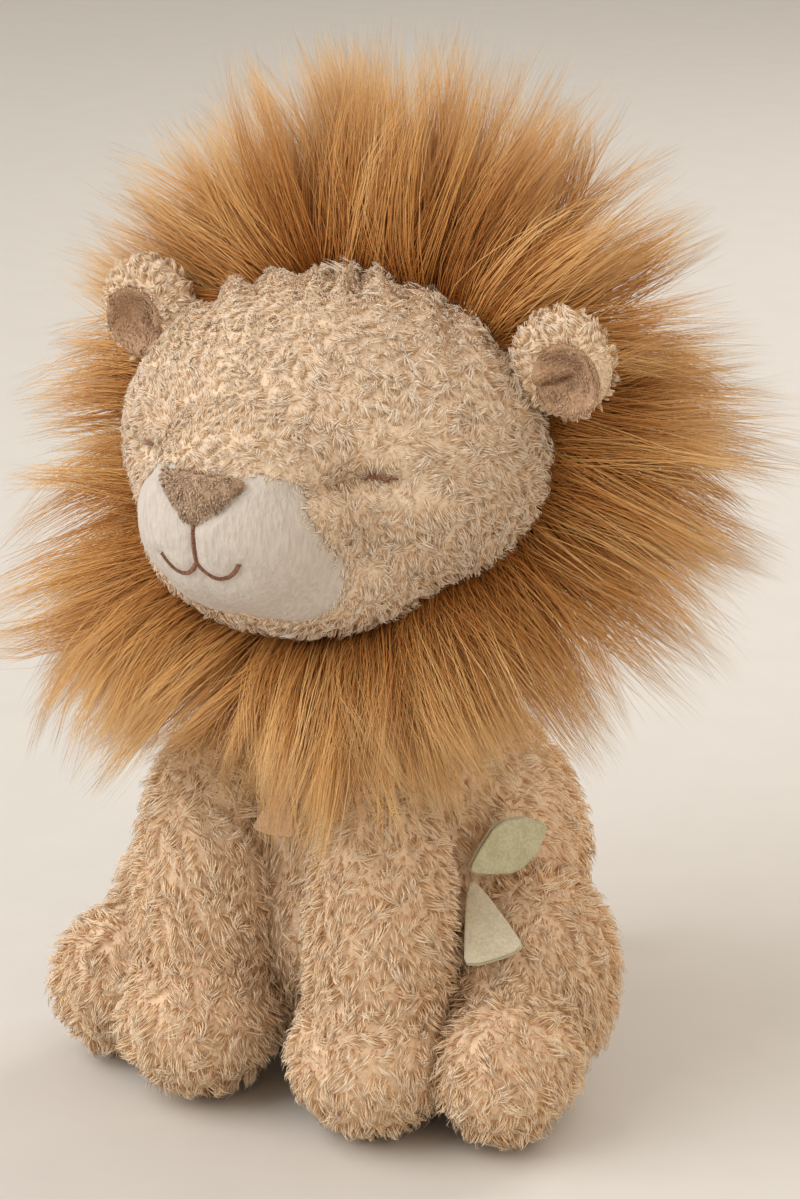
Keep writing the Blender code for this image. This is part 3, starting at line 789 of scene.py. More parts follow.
def disc_grid(name, across, up):
    """A grid whose square edge is drawn round into a circle: its points as angle and share."""
    bpy.ops.mesh.primitive_grid_add(x_subdivisions=across, y_subdivisions=up, size=2)
    patch = bpy.context.object
    patch.name = patch.data.name = name
    flat = np.array([v.co for v in patch.data.vertices])
    s, t = flat[:, 0], flat[:, 1]
    share = np.maximum(np.abs(s), np.abs(t))
    wide = np.abs(s) >= np.abs(t)
    safe_s, safe_t = np.where(s == 0, 1e-9, s), np.where(t == 0, 1e-9, t)
    angle = np.where(wide, math.pi / 4 * t / safe_s, math.pi / 2 - math.pi / 4 * s / safe_t)
    angle = angle + np.where(wide, (s < 0) * math.pi, (t < 0) * math.pi)
    return patch, np.arctan2(np.sin(angle), np.cos(angle)), share


print("1 is the panel's edge, and its point at x 0, z 150 is at",
      inside_share(panel_outline, np.array([0.0]), np.array([150.0])).round(2))

# %% [markdown]
# ## A patch laid on a cover
# The patch is laid on like a sticker: each of its points is sent back until it meets the cover, and
# then rises by its own padding. A Solidify modifier gives the cloth its thickness, downwards, and
# the normals are made to point out of the closed shape. Cutting the cover's mesh instead would
# leave an edge that no pile could hide.


# %% A patch of cloth laid on a cover
def make_cloth(patch, thickness):
    """Thickness below the patch's face, in mm, on a closed shape whose faces point outwards."""
    finish_modifier(patch, "SOLIDIFY", thickness=thickness * mm, offset=-1.0)
    bpy.ops.object.mode_set(mode="EDIT")
    bpy.ops.mesh.select_all(action="SELECT")
    bpy.ops.mesh.normals_make_consistent(inside=False)
    bpy.ops.object.mode_set(mode="OBJECT")
    patch.data.shade_smooth()


def laid_patch(name, outline, ground, rise, thickness, grid):
    """A patch with an (x, z) outline, laid on a ground from the front, rise(share, x, z) above."""
    patch, angle, share = disc_grid(name, *grid)
    middle, reach = edge_reach(outline, angle)
    x, z = middle[0] + share * reach * np.cos(angle), middle[1] + share * reach * np.sin(angle)
    up = rise(share, x, z)
    for vertex, x_here, z_here, up_here in zip(patch.data.vertices, x, z, up):
        place, normal = ground.ray_cast(Vector((x_here, -150, z_here)), Vector((0, 1, 0)))[:2]
        if place is None:
            place, normal = ground.find_nearest(Vector((x_here, -60, z_here)))[:2]
        vertex.co = (place + normal * up_here) * mm
    make_cloth(patch, thickness)
    print(name, len(patch.data.vertices), "vertices")
    return patch


# %% [markdown]
# ## The mouth's line
# A short stem runs down from the nose and ends in a smile of two hooks. The same line pulls the
# panel in and later carries the stitches, so it is drawn once, as points seen from the front.

# %% The mouth's line
lip_z, smile_half, smile_dip = 133.9, 9.2, 3.3
stem = np.stack([np.zeros(24), np.linspace(nose_low + 0.2, lip_z, 24)], axis=1)
along_smile = np.linspace(-1, 1, 81)
smile_drop = np.interp(
    np.abs(along_smile), [0, 0.07, 0.16, 0.32, 0.50, 0.68, 0.84, 0.95, 1.0],
    [0.0, 0.30, 0.60, 0.92, 1.0, 0.86, 0.50, 0.10, -0.14],
)
smile = np.stack([along_smile * smile_half, lip_z - smile_drop * smile_dip], axis=1)
mouth = np.concatenate([stem, smile])


def to_line(line, x, z):
    """The distance of each point from a line of points."""
    gaps = np.hypot(x[:, None] - line[None, :, 0], z[:, None] - line[None, :, 1])
    return gaps.min(axis=1)


print("the smile is", 2 * smile_half, "mm wide and dips", smile_dip, "mm")

# %% [markdown]
# ## The muzzle
# The white panel is short plush, let into the fleece, so its edge dives under the curls round it.
# The mouth's stitches pull it in along their line, and it rises in two cheeks beside the nose. Its
# nap is too short to part in strands, so it is a bump of small upright streaks in its finish.


# %% The white panel
def panel_rise(share, x, z):
    crown = 0.1 + 1.9 * (1 - share ** 5)
    pulled = 0.75 * bell(to_line(mouth, x, z), 1.5)
    below = 0.5 * bell(x, 1.6) * smooth_step((lip_z - z) / 4)
    beside_nose = 0.7 * bell((inside_share(nose_outline, x, z) - 1.05) * 8, 1.6)
    ripple = np.array([noise.noise(Vector((a / 5, 3.3, b / 7))) for a, b in zip(x, z)])
    return crown - pulled - below - beside_nose + 0.35 * ripple


muzzle_panel = laid_patch("muzzle_cloth", panel_outline, head_tree, panel_rise, 1.2, (72, 56))
plush_ground = backing("plush_ground", (0.66, 0.60, 0.54), 0.88, 0.0008, (1.2, 1.2, 0.4))
dress(muzzle_panel, plush_ground, "head", "white_plush", "muzzle_panel")
panel_tree = tree_of(muzzle_panel)


# %% [markdown]
# ## Short plush
# The nose and the inside of the ears are plush that is cut short, so its strands are stubby and
# straight and lean one way. They grow on the front of a patch only, by the function that grows
# the fleece, with next to no curl.


# %% Short plush
def plush(cover, name, body, slot, finish, density, length, height, radius, comb, seed, **more):
    """Short straight pile on the front of a patch, that leans one way."""
    tufts(cover, name, body, slot, finish, density=density, spacing=2.0, length=length,
          height=height, comb=comb, seed=seed, points=3, thick=radius, curl=0.2,
          gather=0.12, noisy=0.5, front=True, **more)


def nose_comb(points):
    """Down the nose, and a little outwards on its sides."""
    x = toy(points)[:, 0]
    return unit(np.stack([x * 0.08, 0 * x, -1.0 - 0 * x], axis=1))


print("a strand at x 5 on the nose leans", nose_comb(np.array([[5.0, 0, 0]])).round(2))

# %% [markdown]
# ## The nose
# The nose is an inverted triangle of taupe plush with round corners, padded a little, over the top
# of the panel. Its padding is thickest along the top, so that it overhangs the panel as a real
# nose does, and its pile is mixed from dark and pale strands to look velvety.


# %% The nose
def nose_rise(share, x, z):
    """Padding that is thickest along the top."""
    top = smooth_step((z - nose_low) / (nose_high - nose_low))
    return 1.2 + (1.6 + 1.8 * top) * (1 - share ** 4)


nose_patch = laid_patch("nose_cloth", nose_outline, head_tree, nose_rise, 1.6, (30, 24))
nose_ground = backing("nose_ground", (0.58, 0.41, 0.29))
dress(nose_patch, nose_ground, "head", "nose_plush", "nose_patch")
nose_pile = pile_finish(
    "nose_pile",
    [(0.0, (0.34, 0.22, 0.14)), (0.5, (0.62, 0.45, 0.32)), (1.0, (0.88, 0.70, 0.54))],
    deep=(0.8, 0.75, 0.7), tip_pale=0.3, pale=(0.80, 0.66, 0.52),
)
plush(nose_patch, "nose_plush_pile", "head", "nose_plush", nose_pile, 9.0, 0.8, 0.6, 0.12,
      nose_comb, 62, tone_spread=0.30)

# %% [markdown]
# ## Stitching
# The mouth is sewn in satin stitch: short threads laid side by side across its line, each one
# diving into the plush at both ends. One thread is drawn as a small arch, and the arches are
# repeated along the line at a slant.


# %% Threads as one mesh
def thread_piece(name, lines, radius):
    """Round threads along lines of points in mm, as one mesh with closed ends."""
    curve = bpy.data.curves.new(name, "CURVE")
    curve.dimensions = "3D"
    curve.bevel_depth, curve.bevel_resolution = radius * mm, 1
    curve.use_fill_caps = True
    for line in lines:
        spline = curve.splines.new("POLY")
        spline.points.add(len(line) - 1)
        spline.points.foreach_set("co", np.c_[np.array(line) * mm, np.ones(len(line))].ravel())
    piece = bpy.data.objects.new(name, curve)
    bpy.context.scene.collection.objects.link(piece)
    bpy.ops.object.select_all(action="DESELECT")
    piece.select_set(True)
    bpy.context.view_layer.objects.active = piece
    bpy.ops.object.convert(target="MESH")
    piece = bpy.context.object
    bpy.ops.object.mode_set(mode="EDIT")
    bpy.ops.mesh.select_all(action="SELECT")
    bpy.ops.mesh.remove_doubles(threshold=0.00001)
    bpy.ops.mesh.normals_make_consistent(inside=False)
    bpy.ops.object.mode_set(mode="OBJECT")
    piece.data.shade_smooth()
    print(f"{name}: {len(lines)} threads, {len(piece.data.vertices)} vertices")
    return piece


# %% [markdown]
# ## Satin stitches
# The line is laid on the panel first, and stitches are set along it by their distance on the
# cloth, so that they stay even where it curves. Each is a little too wide or narrow and a little
# askew, as machine stitches in a deep pile are.


# %% Satin stitches along a line
stitch_slant, stitch_high = 0.16, 0.62


def on_ground(ground, line):
    """Points and normals of a ground, seen from the front, along a line of (x, z)."""
    found = [ground.ray_cast(Vector((x, -150, z)), Vector((0, 1, 0)))[:2] for x, z in line]
    return np.array([f[0] for f in found]), np.array([f[1] for f in found])


def satin(ground, line, half_width, spacing, seed):
    """Arches across a line, one after another."""
    chance = np.random.default_rng(seed)
    points, normals = on_ground(ground, line)
    steps = np.linalg.norm(np.diff(points, axis=0), axis=1)
    length = np.concatenate([[0], steps.cumsum()])
    arches = []
    for place in np.arange(spacing / 2, length[-1], spacing):
        middle = np.array([np.interp(place, length, points[:, i]) for i in range(3)])
        ahead = np.array([np.interp(place + 0.2, length, points[:, i]) for i in range(3)])
        back = np.array([np.interp(place - 0.2, length, points[:, i]) for i in range(3)])
        out = unit(np.array([np.interp(place, length, normals[:, i]) for i in range(3)]))
        along = unit(ahead - back)
        across = np.cross(along, out)
        wide = half_width * chance.uniform(0.85, 1.15)
        slant = stitch_slant + 0.05 * chance.normal()
        arches.append([
            middle + across * wide * s + along * slant * s
            + out * (stitch_high * (1 - s * s) - 0.15)
            for s in (-1, -0.8, -0.4, 0, 0.4, 0.8, 1)
        ])
    return arches


print("stitches stand", stitch_high, "mm high and slant by", stitch_slant, "mm")

# %% [markdown]
# ## Brown thread
# Embroidery thread is twisted from fine fibres, some of which catch the light. A very fine noise
# paints those glints as paler fibres through the dark dye and raises them a little, and the thread
# keeps the slight gloss that the cloth round it lacks.


# %% Brown thread
def thread_finish(name, dark, light):
    """Twisted thread: fine paler fibres, painted highlights, run through a dark dye."""
    thread = Finish(name, Roughness=0.45, Specular_IOR_Level=0.5, Sheen_Weight=0.2)
    place = thread.node("TexCoord", output=3)
    fibre = thread.node("TexNoise", {}, {"Vector": place, "Scale": 2600.0, "Detail": 2.0})
    tone = thread.blend(fibre.between(0.35, 0.7), (*dark, 1), (*light, 1))
    bump = thread.node("Bump", {}, {"Strength": 0.5, "Distance": 0.0001, "Height": fibre})
    return thread.give(Base_Color=tone, Normal=bump)


brown_thread = thread_finish("brown_thread", (0.12, 0.040, 0.016), (0.36, 0.15, 0.06))
print("thread finish:", brown_thread.name)

# %% [markdown]
# ## The mouth
# The stitches of the stem and of the smile are a third of a millimetre apart and just under one
# wide, and they are made one mesh. They ride with the head and stand for the CAD's mouth.

# %% The mouth
stitch_gap = 0.34
stem_stitches = satin(panel_tree, stem, 0.46, stitch_gap, 71)
smile_stitches = satin(panel_tree, smile, 0.44, stitch_gap, 72)
mouth_stitching = thread_piece("mouth_stitches", stem_stitches + smile_stitches, 0.17)
dress(mouth_stitching, brown_thread, "head", "brown_thread", "mouth_stitching")

# %% [markdown]
# ## The closed eyes
# Each eye is one loose bundle of long stitches, bowed down like a sleeping lid, half buried in the
# fleece. Satin stitches would look too neat there, so six threads of uneven length are laid along
# the same bow, each a little off the others.

# %% The closed eyes
eye_half, eye_bow, eye_threads = 3.5, 1.2, 6


def eye_line(side):
    share = np.linspace(-1, 1, 9)
    x = side * (eye_x + share * eye_half)
    return np.stack([x, eye_z - 0.1 - eye_bow * (1 - share ** 2) - 0.5 * share], axis=1)


for side, word in ((1, "left"), (-1, "right")):
    chance = np.random.default_rng(80 + side)
    points, normals = on_ground(head_tree, eye_line(side))
    lines = []
    for strand in range(eye_threads):
        offset = np.array([0, 0, chance.normal(0, 0.35)])
        turn = np.linspace(-1, 1, 9)[:, None] * np.array([0, 0, chance.normal(0, 0.55)])
        rise = 1.5 + 0.3 * chance.random() - 0.5 * np.linspace(-1, 1, 9)[:, None] ** 4
        start, stop = chance.integers(0, 3), 9 - chance.integers(0, 3)
        lines.append((points + normals * rise + offset + turn)[start:stop])
    eye = thread_piece(f"eye_stitches_{word}", lines, 0.21)
    dress(eye, brown_thread, "head", "brown_thread", f"eye_stitching_{word}")

# %% [markdown]
# ## The fleece of the head
# The curls lie every way at once, but not at random: they stream away from the dents of the eyes
# and down the cheeks, and follow the folds at the brow. Four small functions of a place say where
# pile grows, which way it is combed, how long it is and how light, and tufts() does the rest.


# %% Where and how the head's curls grow
def on_face(points):
    x, y, z = toy(points).T
    panel = (inside_share(panel_outline, x, z) < 0.95) & (y < 0)
    neck = (z < 112) & (y > 16)
    return ((y < 39) & ~panel & ~neck).astype(float)


def head_comb(points):
    place = toy(points)
    x, y, z = place.T
    eye = np.stack([np.sign(x) * eye_x, 0 * y - 8, 0 * z + eye_z], axis=1)
    ray = place - eye
    brow = smooth_step((z - 165) / 10)[:, None]
    forward = np.array([0.35, -1.0, -0.4])
    return unit(ray) * 0.55 * (1 - brow) + np.array([0, 0, -0.25]) * (1 - brow) + forward * brow


def head_grow(points):
    """Curls are short on the stitches of the eyes and where they meet the panel."""
    x, y, z = toy(points).T
    eye = bell(np.abs(x) - eye_x, 5.5) * bell(z - eye_z, 2.4) * (y < 15)
    panel = smooth_step((inside_share(panel_outline, x, z) - 0.98) * 7) * (y < 0) + (y >= 0)
    smooth = 0.25 * smooth_step((z - 150) / 12) * smooth_step((15 - x) / 20)
    return (1 - 0.62 * eye - smooth) * (0.55 + 0.45 * np.clip(panel, 0, 1))


def head_shade(points):
    """Painted light and shade: a tone paler than the body, lighter on fold ridges, darker in
    grooves.
    """
    return 0.10 + 0.26 * np.minimum(gathers(toy(points)), 0.3)


crown_point = np.array([[0.0, 20 - middle_y, 184]])
print("at the crown: grows", on_face(crown_point), "combed", head_comb(crown_point).round(2))

# %% [markdown]
# ## The head's curls
# The head has the finest pile of the toy: two and a half strands to the square millimetre, in tufts
# less than two millimetres apart. It ends behind the ears, where the ruff hides the cloth.

# %% The head's curls
tufts(head_cover, "head_pile", "head", "curly_fleece", fleece_pile, density=2.45, spacing=1.7,
      length=2.3, height=1.5, comb=head_comb, seed=11, keep=on_face, points=3, parts=2,
      thick=0.145, gather=0.55, curl=1.3, noisy=1.2, grow=head_grow, shade=head_shade)

# %% [markdown]
# ## Ears
# An ear is a round pad with its front pushed in: fleece outside and over the rim, and a lining of
# short ribbed plush in the cup. The cup sits low in the ear, so the rim is thick above and thin
# below, and a crease runs from the cup's middle to where the ear is pinched to the head.

# %% The ear's sizes, and places in its cup
ear_x, ear_y, ear_z, ear_size, ear_thick = 51.2, 30.0, 168.4, 25.2, 9.0
ear_pile_depth = 1.5
cup_out, cup_low, cup_wide, cup_deep = 2.1, 2.5, 7.8, 5.0


def in_cup(side, x, z):
    """Places measured from the middle of the cup."""
    return x - side * (ear_x + cup_out), z - (ear_z - cup_low)


def cup_outline(side):
    turns = np.linspace(0, 2 * math.pi, 40, endpoint=False)
    return np.stack([
        side * (ear_x + cup_out) + cup_wide * 0.95 * np.cos(turns),
        ear_z - cup_low + cup_wide * np.sin(turns),
    ], axis=1)


def cup_share(side, x, z):
    return np.hypot(*in_cup(side, x, z)) / cup_wide


def crease(side, x, z):
    """How far each point lies ahead of the cup's middle, towards the head, and to its side."""
    x, z = in_cup(side, x, z)
    toward = (-side * 0.95, -0.31)
    return x * toward[0] + z * toward[1], side * (x * toward[1] - z * toward[0])


print("the cup is", 2 * cup_wide, "mm wide in an ear of", ear_size, "mm")

# %% [markdown]
# ## The shape of an ear
# A ball is flattened to a pad whose rim stays full, which an exponent above 2 does, and its front
# half is pressed in over the cup. The crease is a narrow slit with a soft fold beside it.


# %% The shape of an ear
def in_order(mesh):
    """The ball again, by the places of its points, since the operator leaves them in any order."""
    points = np.array([v.co for v in mesh.vertices]).round(6) + 0.0
    order = np.lexsort(points.T)
    rank = np.argsort(order)
    faces = []
    for face in mesh.polygons:
        corners = [int(rank[corner]) for corner in face.vertices]
        first = corners.index(min(corners))
        faces.append(tuple(corners[first:] + corners[:first]))
    mesh.clear_geometry()
    mesh.from_pydata(points[order].tolist(), [], sorted(faces))


def ear_form(side, word):
    bpy.ops.mesh.primitive_uv_sphere_add(
        segments=72, ring_count=64, radius=1, rotation=(math.pi / 2, 0, 0)
    )
    ear = bpy.context.object
    ear.name = ear.data.name = f"ear_cover_{word}"
    bpy.ops.object.transform_apply(location=True, rotation=True, scale=True)
    in_order(ear.data)
    ball = np.array([v.co for v in ear.data.vertices])
    half, thick = ear_size / 2 - ear_pile_depth, ear_thick / 2 - ear_pile_depth / 2
    off = np.hypot(ball[:, 0], ball[:, 2])
    x, z = side * ear_x + ball[:, 0] * half, ear_z + ball[:, 2] * half
    y = ear_y + np.sign(ball[:, 1]) * thick * np.sqrt(np.maximum(0, 1 - off ** 3.4))
    ahead, aside = crease(side, x, z)
    near = smooth_step((ahead + 1.0) / 2.5) * smooth_step((8.5 - ahead) / 3)
    slit = 2.4 * bell(aside, 0.7) * near
    fold = 0.9 * bell(aside - 2.0, 1.4) * near
    dish = cup_deep * (1 - smooth_step(cup_share(side, x, z) ** 1.6))
    y = np.where(ball[:, 1] < 0, np.minimum(y + dish + slit - fold, ear_y + 2.4), y)
    moved = np.stack([x, y - middle_y, z], axis=1)
    ear.data.vertices.foreach_set("co", (moved * mm).astype(np.float32).ravel())
    ear.data.update()
    finish_modifier(ear, "SMOOTH", factor=0.5, iterations=2)
    ear.data.shade_smooth()
    dress(ear, fleece_ground, f"ear_{word}", "curly_fleece", f"ear_{word}")
    print(f"{ear.name}: {len(ear.data.vertices)} vertices")
    return ear


# %% [markdown]
# ## The ear's fleece
# The curls stand away from the ear's middle all round its rim, and stop where the lining starts.
# Below, where cup and rim are close, they shrink to a nap, as they do where a seam has been turned.

# %% Fleece round the ear
def ear_fleece(ear, side, word):
    def off_lining(points):
        x, y, z = toy(points).T
        return (~((cup_share(side, x, z) < 0.96) & (y < ear_y + 3))).astype(float)

    def outwards(points):
        ray = toy(points) - np.array([side * ear_x, ear_y, ear_z])
        return unit(ray * np.array([1, 0.2, 1])) * 0.8

    def ear_grow(points):
        x, y, z = toy(points).T
        far = side * (x - side * ear_x) * 0.6 - (z - ear_z) * 0.8
        return 1 - 0.8 * smooth_step((far - 2) / 5) * (y < ear_y)

    # painted shade: the ear's locks sit a little lower on the ramp than the head's
    tufts(ear, f"ear_pile_{word}", f"ear_{word}", "curly_fleece", fleece_pile, density=3.8,
          spacing=1.6, length=1.6, height=1.2, comb=outwards, seed=90 + side, keep=off_lining,
          points=3, thick=0.17, grow=ear_grow, shade=lambda p: -0.08 + 0 * p[:, 0])


# %% [markdown]
# ## The ear's lining
# The cup is lined with short brown plush that lies in curved ribs. The lining is a patch laid in
# the dish, like the nose, and the ribs are made by its pile: rows of strands painted lighter and
# darker, as light and shade on the ribs, combed round the place where the ear is pinched. The crease
# is painted darker, as its shade.

# %% The lining and its ribs
rib_gap = 0.95
ear_plush_ground = backing("ear_plush_ground", (0.52, 0.34, 0.22))
lining_pile = pile_finish(
    "lining_pile",
    [(0.0, (0.42, 0.25, 0.15)), (0.5, (0.70, 0.48, 0.32)), (1.0, (0.88, 0.66, 0.48))],
    deep=(0.9, 0.8, 0.7), tip_pale=0.25, pale=(0.84, 0.64, 0.47),
)


def ear_lining(ground, side, word):
    lining = laid_patch(f"ear_lining_cloth_{word}", cup_outline(side), ground,
                        lambda share, x, z: 0.35 + 0.25 * (1 - share ** 4), 0.5, (32, 32))
    dress(lining, ear_plush_ground, f"ear_{word}", "ear_plush", f"ear_lining_{word}")
    return lining


def lining_nap(lining, side, word):
    def ribbed(points):
        ray = toy(points) - np.array([side * (ear_x - 6), ear_y, ear_z - cup_low - 4])
        return unit(np.stack([ray[:, 2], 0 * ray[:, 1], -ray[:, 0]], axis=1)) * 1.2

    # painted light and shade: rows lighter and darker along the ribs, and darker in the crease
    def ribs(points):
        x, y, z = toy(points).T
        ahead, aside = crease(side, x, z)
        rows = np.sin(2 * math.pi * (aside + 0.04 * ahead ** 2) / rib_gap)
        return 0.34 * rows - 0.5 * bell(aside, 0.7) * smooth_step((ahead + 1) / 2)

    plush(lining, f"ear_lining_pile_{word}", f"ear_{word}", "ear_plush", lining_pile, 8.0, 0.8,
          0.35, 0.11, ribbed, 95 + side, shade=ribs)


# %% [markdown]
# ## Both ears
# The two ears are mirror images, so one set of functions makes both, with side 1 for the toy's
# left and -1 for its right. Each is a body of its own, because an ear folds at its seam.

# %% Both ears
for side, word in ((1, "left"), (-1, "right")):
    ear = ear_form(side, word)
    lining = ear_lining(tree_of(ear), side, word)
    ear_fleece(ear, side, word)
    lining_nap(lining, side, word)

# %% [markdown]
# ## The body
# The body is a pear: a round seat with a narrower chest on it. It is the same fleece as the head,
# but less brushed, so its tufts are longer and all hang down, and it is painted a tone darker and
# warmer, as the shade the body sits in.

# %% Body
seat = ((0, 48, 44.5), (92, 92, 90))
belly = ((0, 38, 66), (72, 72, 68))
chest = ((0, 40, 75), (54, 52, 66))
body_cover = stuffed_form("body_cover", [seat, belly, chest], pile_depth, voxel=2.6)
dress(body_cover, body_ground, "torso", "curly_fleece", "body_skin", "body_stuffing", "bean_bag")


def downwards(points):
    return np.array([0, 0, -1.0]) + 0 * points


# painted shade: the body's and legs' locks sit lower on the ramp, darker and warmer
def painted_body_shade(points):
    return -0.08 + 0 * points[:, 0]


def on_body(points):
    """Not under the seat, nor where the neck covers the cloth."""
    return ((points[:, 2] > 2) & (points[:, 2] < 100)).astype(float)


tufts(body_cover, "body_pile", "torso", "curly_fleece", body_fleece_pile, density=0.57, spacing=2.6,
      length=3.8, height=2.0, comb=downwards, seed=21, keep=on_body, points=3, thick=0.25,
      gather=0.5, shade=painted_body_shade)

# %% [markdown]
# ## The legs
# Each leg is a tube that swells into a paw, with a seam round it a finger's breadth above the
# floor. The seam is a shallow groove pressed round the cover, with shorter pile over it. The hind
# legs lie on their sides, so theirs are a paw in front of a thigh.

# %% Legs
front_lobes = [((22, 5, 43.5), (36, 36, 88)), ((22, 2.5, 18.5), (39, 46, 38))]
hind_lobes = [((49, 12, 18), (34, 41, 37)), ((43, 34, 27.5), (38, 52, 56))]
sole_seam = 10.0


def off_floor(points):
    return (points[:, 2] > 1.5).astype(float)


def seam_grow(points):
    return 1 - 0.35 * bell(points[:, 2] - sole_seam, 1.8)


def leg(kind, side, lobes, seed):
    turn = 1 if side == "left" else -1
    placed = [((turn * x, y, z), size) for (x, y, z), size in lobes]
    cover = stuffed_form(f"{kind}_leg_cover_{side}", placed, pile_depth, voxel=2.0)
    carve(cover, lambda place: -1.1 * bell(place[:, 2] - sole_seam, 1.6))
    body = f"{kind}_leg_{side}"
    dress(cover, body_ground, body, "curly_fleece", f"{kind}_leg_skin_{side}",
          f"{kind}_leg_sole_{side}", f"{kind}_leg_stuffing_{side}")
    tufts(cover, f"{kind}_leg_pile_{side}", body, "curly_fleece", body_fleece_pile, density=1.3,
          spacing=2.1, length=3.2, height=2.1, comb=downwards, seed=seed, keep=off_floor, points=3,
          thick=0.2, grow=seam_grow, gather=0.5, curl=1.2, shade=painted_body_shade)


leg("front", "left", front_lobes, 40)
leg("front", "right", front_lobes, 41)
leg("hind", "left", hind_lobes, 39)
leg("hind", "right", hind_lobes, 40)

# %% [markdown]
# ## The neck
# The neck is a short stuffed plug that the ruff hides from most sides. It has a cover and a thin
# pile of its own all the same, because it turns under the head and shows when the head nods.

# %% Neck
neck_cover = stuffed_form("neck_cover", [((0, 37, 103), (38, 38, 38))], 1.2)
dress(neck_cover, body_ground, "neck", "curly_fleece", "neck_plug")
tufts(neck_cover, "neck_pile", "neck", "curly_fleece", body_fleece_pile, density=0.5, spacing=2.4,
      length=2.4, height=1.4, comb=downwards, seed=25, points=3, thick=0.24)

# %% [markdown]
# ## The tail
# The tail is a thin roll of fleece that leaves the rump level and droops. Nine small lobes along a
# falling curve, and one at the end for the tuft to sit on, run together into one skin.

# %% Tail
tail_lobes = [((0, 94 + 2.2 * n, 40 - 0.16 * n * n), (7.4, 8.0, 7.4)) for n in range(9)]
tail_end = ((0, 112, 27), (7, 7, 9))
tail_cover = stuffed_form("tail_cover", tail_lobes + [tail_end], 0.4, voxel=1.0)
dress(tail_cover, body_ground, "tail", "curly_fleece", "tail")


def along_tail(points):
    return np.array([0, 0.8, -0.5]) + 0 * points


tufts(tail_cover, "tail_pile", "tail", "curly_fleece", body_fleece_pile, density=1.6, spacing=2.6,
      length=2.6, height=1.5, comb=along_tail, seed=26, points=4, thick=0.2)

# %% [markdown]
# ## The ruff
# The ruff is a strip of long fur sewn round the head, behind the ears and under the chin, with a
# furry cap behind. Its hair has to start on the head's cover, so the cover is measured once, by
# rays from outside, at every few degrees round the head and at nine depths in the strip. After
# that the start of any hair is looked up in the table, which is far quicker than a ray for each.

# %% Where the ruff's hair starts
mane_middle = 145.5
root_angles = np.radians(np.arange(-180, 181, 6))
root_depths = np.linspace(0, 1, 9)
strip_front, strip_back = (33.0, 3.0), (60.0, 26.0)  # at the crown, and under the chin


def strip_y(low, depth):
    """Where the strip lies from front to back; low is 0 above and 1 under the chin."""
    front = strip_front[0] + (strip_front[1] - strip_front[0]) * low
    back = strip_back[0] + (strip_back[1] - strip_back[0]) * low
    return front + (back - front) * depth


def root_table():
    """How far the head's cover lies from the ruff's middle, by angle and by depth in the strip."""
    table = np.zeros((len(root_angles), len(root_depths)))
    for i, angle in enumerate(root_angles):
        low = float(smooth_step(-math.sin(angle)))
        for j, depth in enumerate(root_depths):
            start = Vector((0, float(strip_y(low, depth)) - middle_y, mane_middle))
            way = Vector((math.cos(angle), 0, math.sin(angle)))
            found = head_tree.ray_cast(start + way * 90, -way)
            table[i, j] = (found[0] - start).length if found[0] else 12.0
    return table


root_reach = root_table()
print("roots lie", root_reach.min().round(1), "to", root_reach.max().round(1), "mm from the middle")

# %% [markdown]
# ## Between the measured places
# A hair seldom starts exactly where a ray was sent, so the four measured places round it are
# blended by how close each one is. That is bilinear interpolation, and it is worth writing once
# by hand, for whole arrays at a time.


# %% A look into the table
def look_up(angle, depth):
    i = (angle + math.pi) / (2 * math.pi) * (len(root_angles) - 1)
    j = np.clip(depth, 0, 1) * (len(root_depths) - 1)
    i0 = np.clip(i.astype(int), 0, len(root_angles) - 2)
    j0 = np.clip(j.astype(int), 0, len(root_depths) - 2)
    a, b = i - i0, j - j0
    return (
        root_reach[i0, j0] * (1 - a) * (1 - b) + root_reach[i0 + 1, j0] * a * (1 - b)
        + root_reach[i0, j0 + 1] * (1 - a) * b + root_reach[i0 + 1, j0 + 1] * a * b
    )


print("the crown's hair starts at", look_up(np.array([math.pi / 2]), np.array([0.5])).round(1))

# %% [markdown]
# ## One hair's path
# Seen from the front, the ruff's outline is nearly round, a little flatter on top and shorter
# under the chin. A hair goes from its root to a tip on that outline. On its way it bulges outwards
# and forwards, and at the sides its end sags. Above, it leans back behind the ears, and below it
# leans forward over the chest. At the toy's right it leans less, where it would cross the ear.

# %% One hair's path
hair_points = 6
side_reach, crown_loss = 93.2, 3.2  # from the ruff's middle to its tips
chin_reach, jaw_reach, jaw_angle = 77.0, 9.0, -1.15
crown_tip_y, chin_tip_y = 49, -22


def tip_distance(up, low, angle):
    """How far a full hair's tip lies from the ruff's middle."""
    side = side_reach - crown_loss * np.abs(up) ** 2
    chin = chin_reach + jaw_reach * bell(angle - jaw_angle, 0.45)
    return np.where(up > 0, side, side + (chin - side) * low)


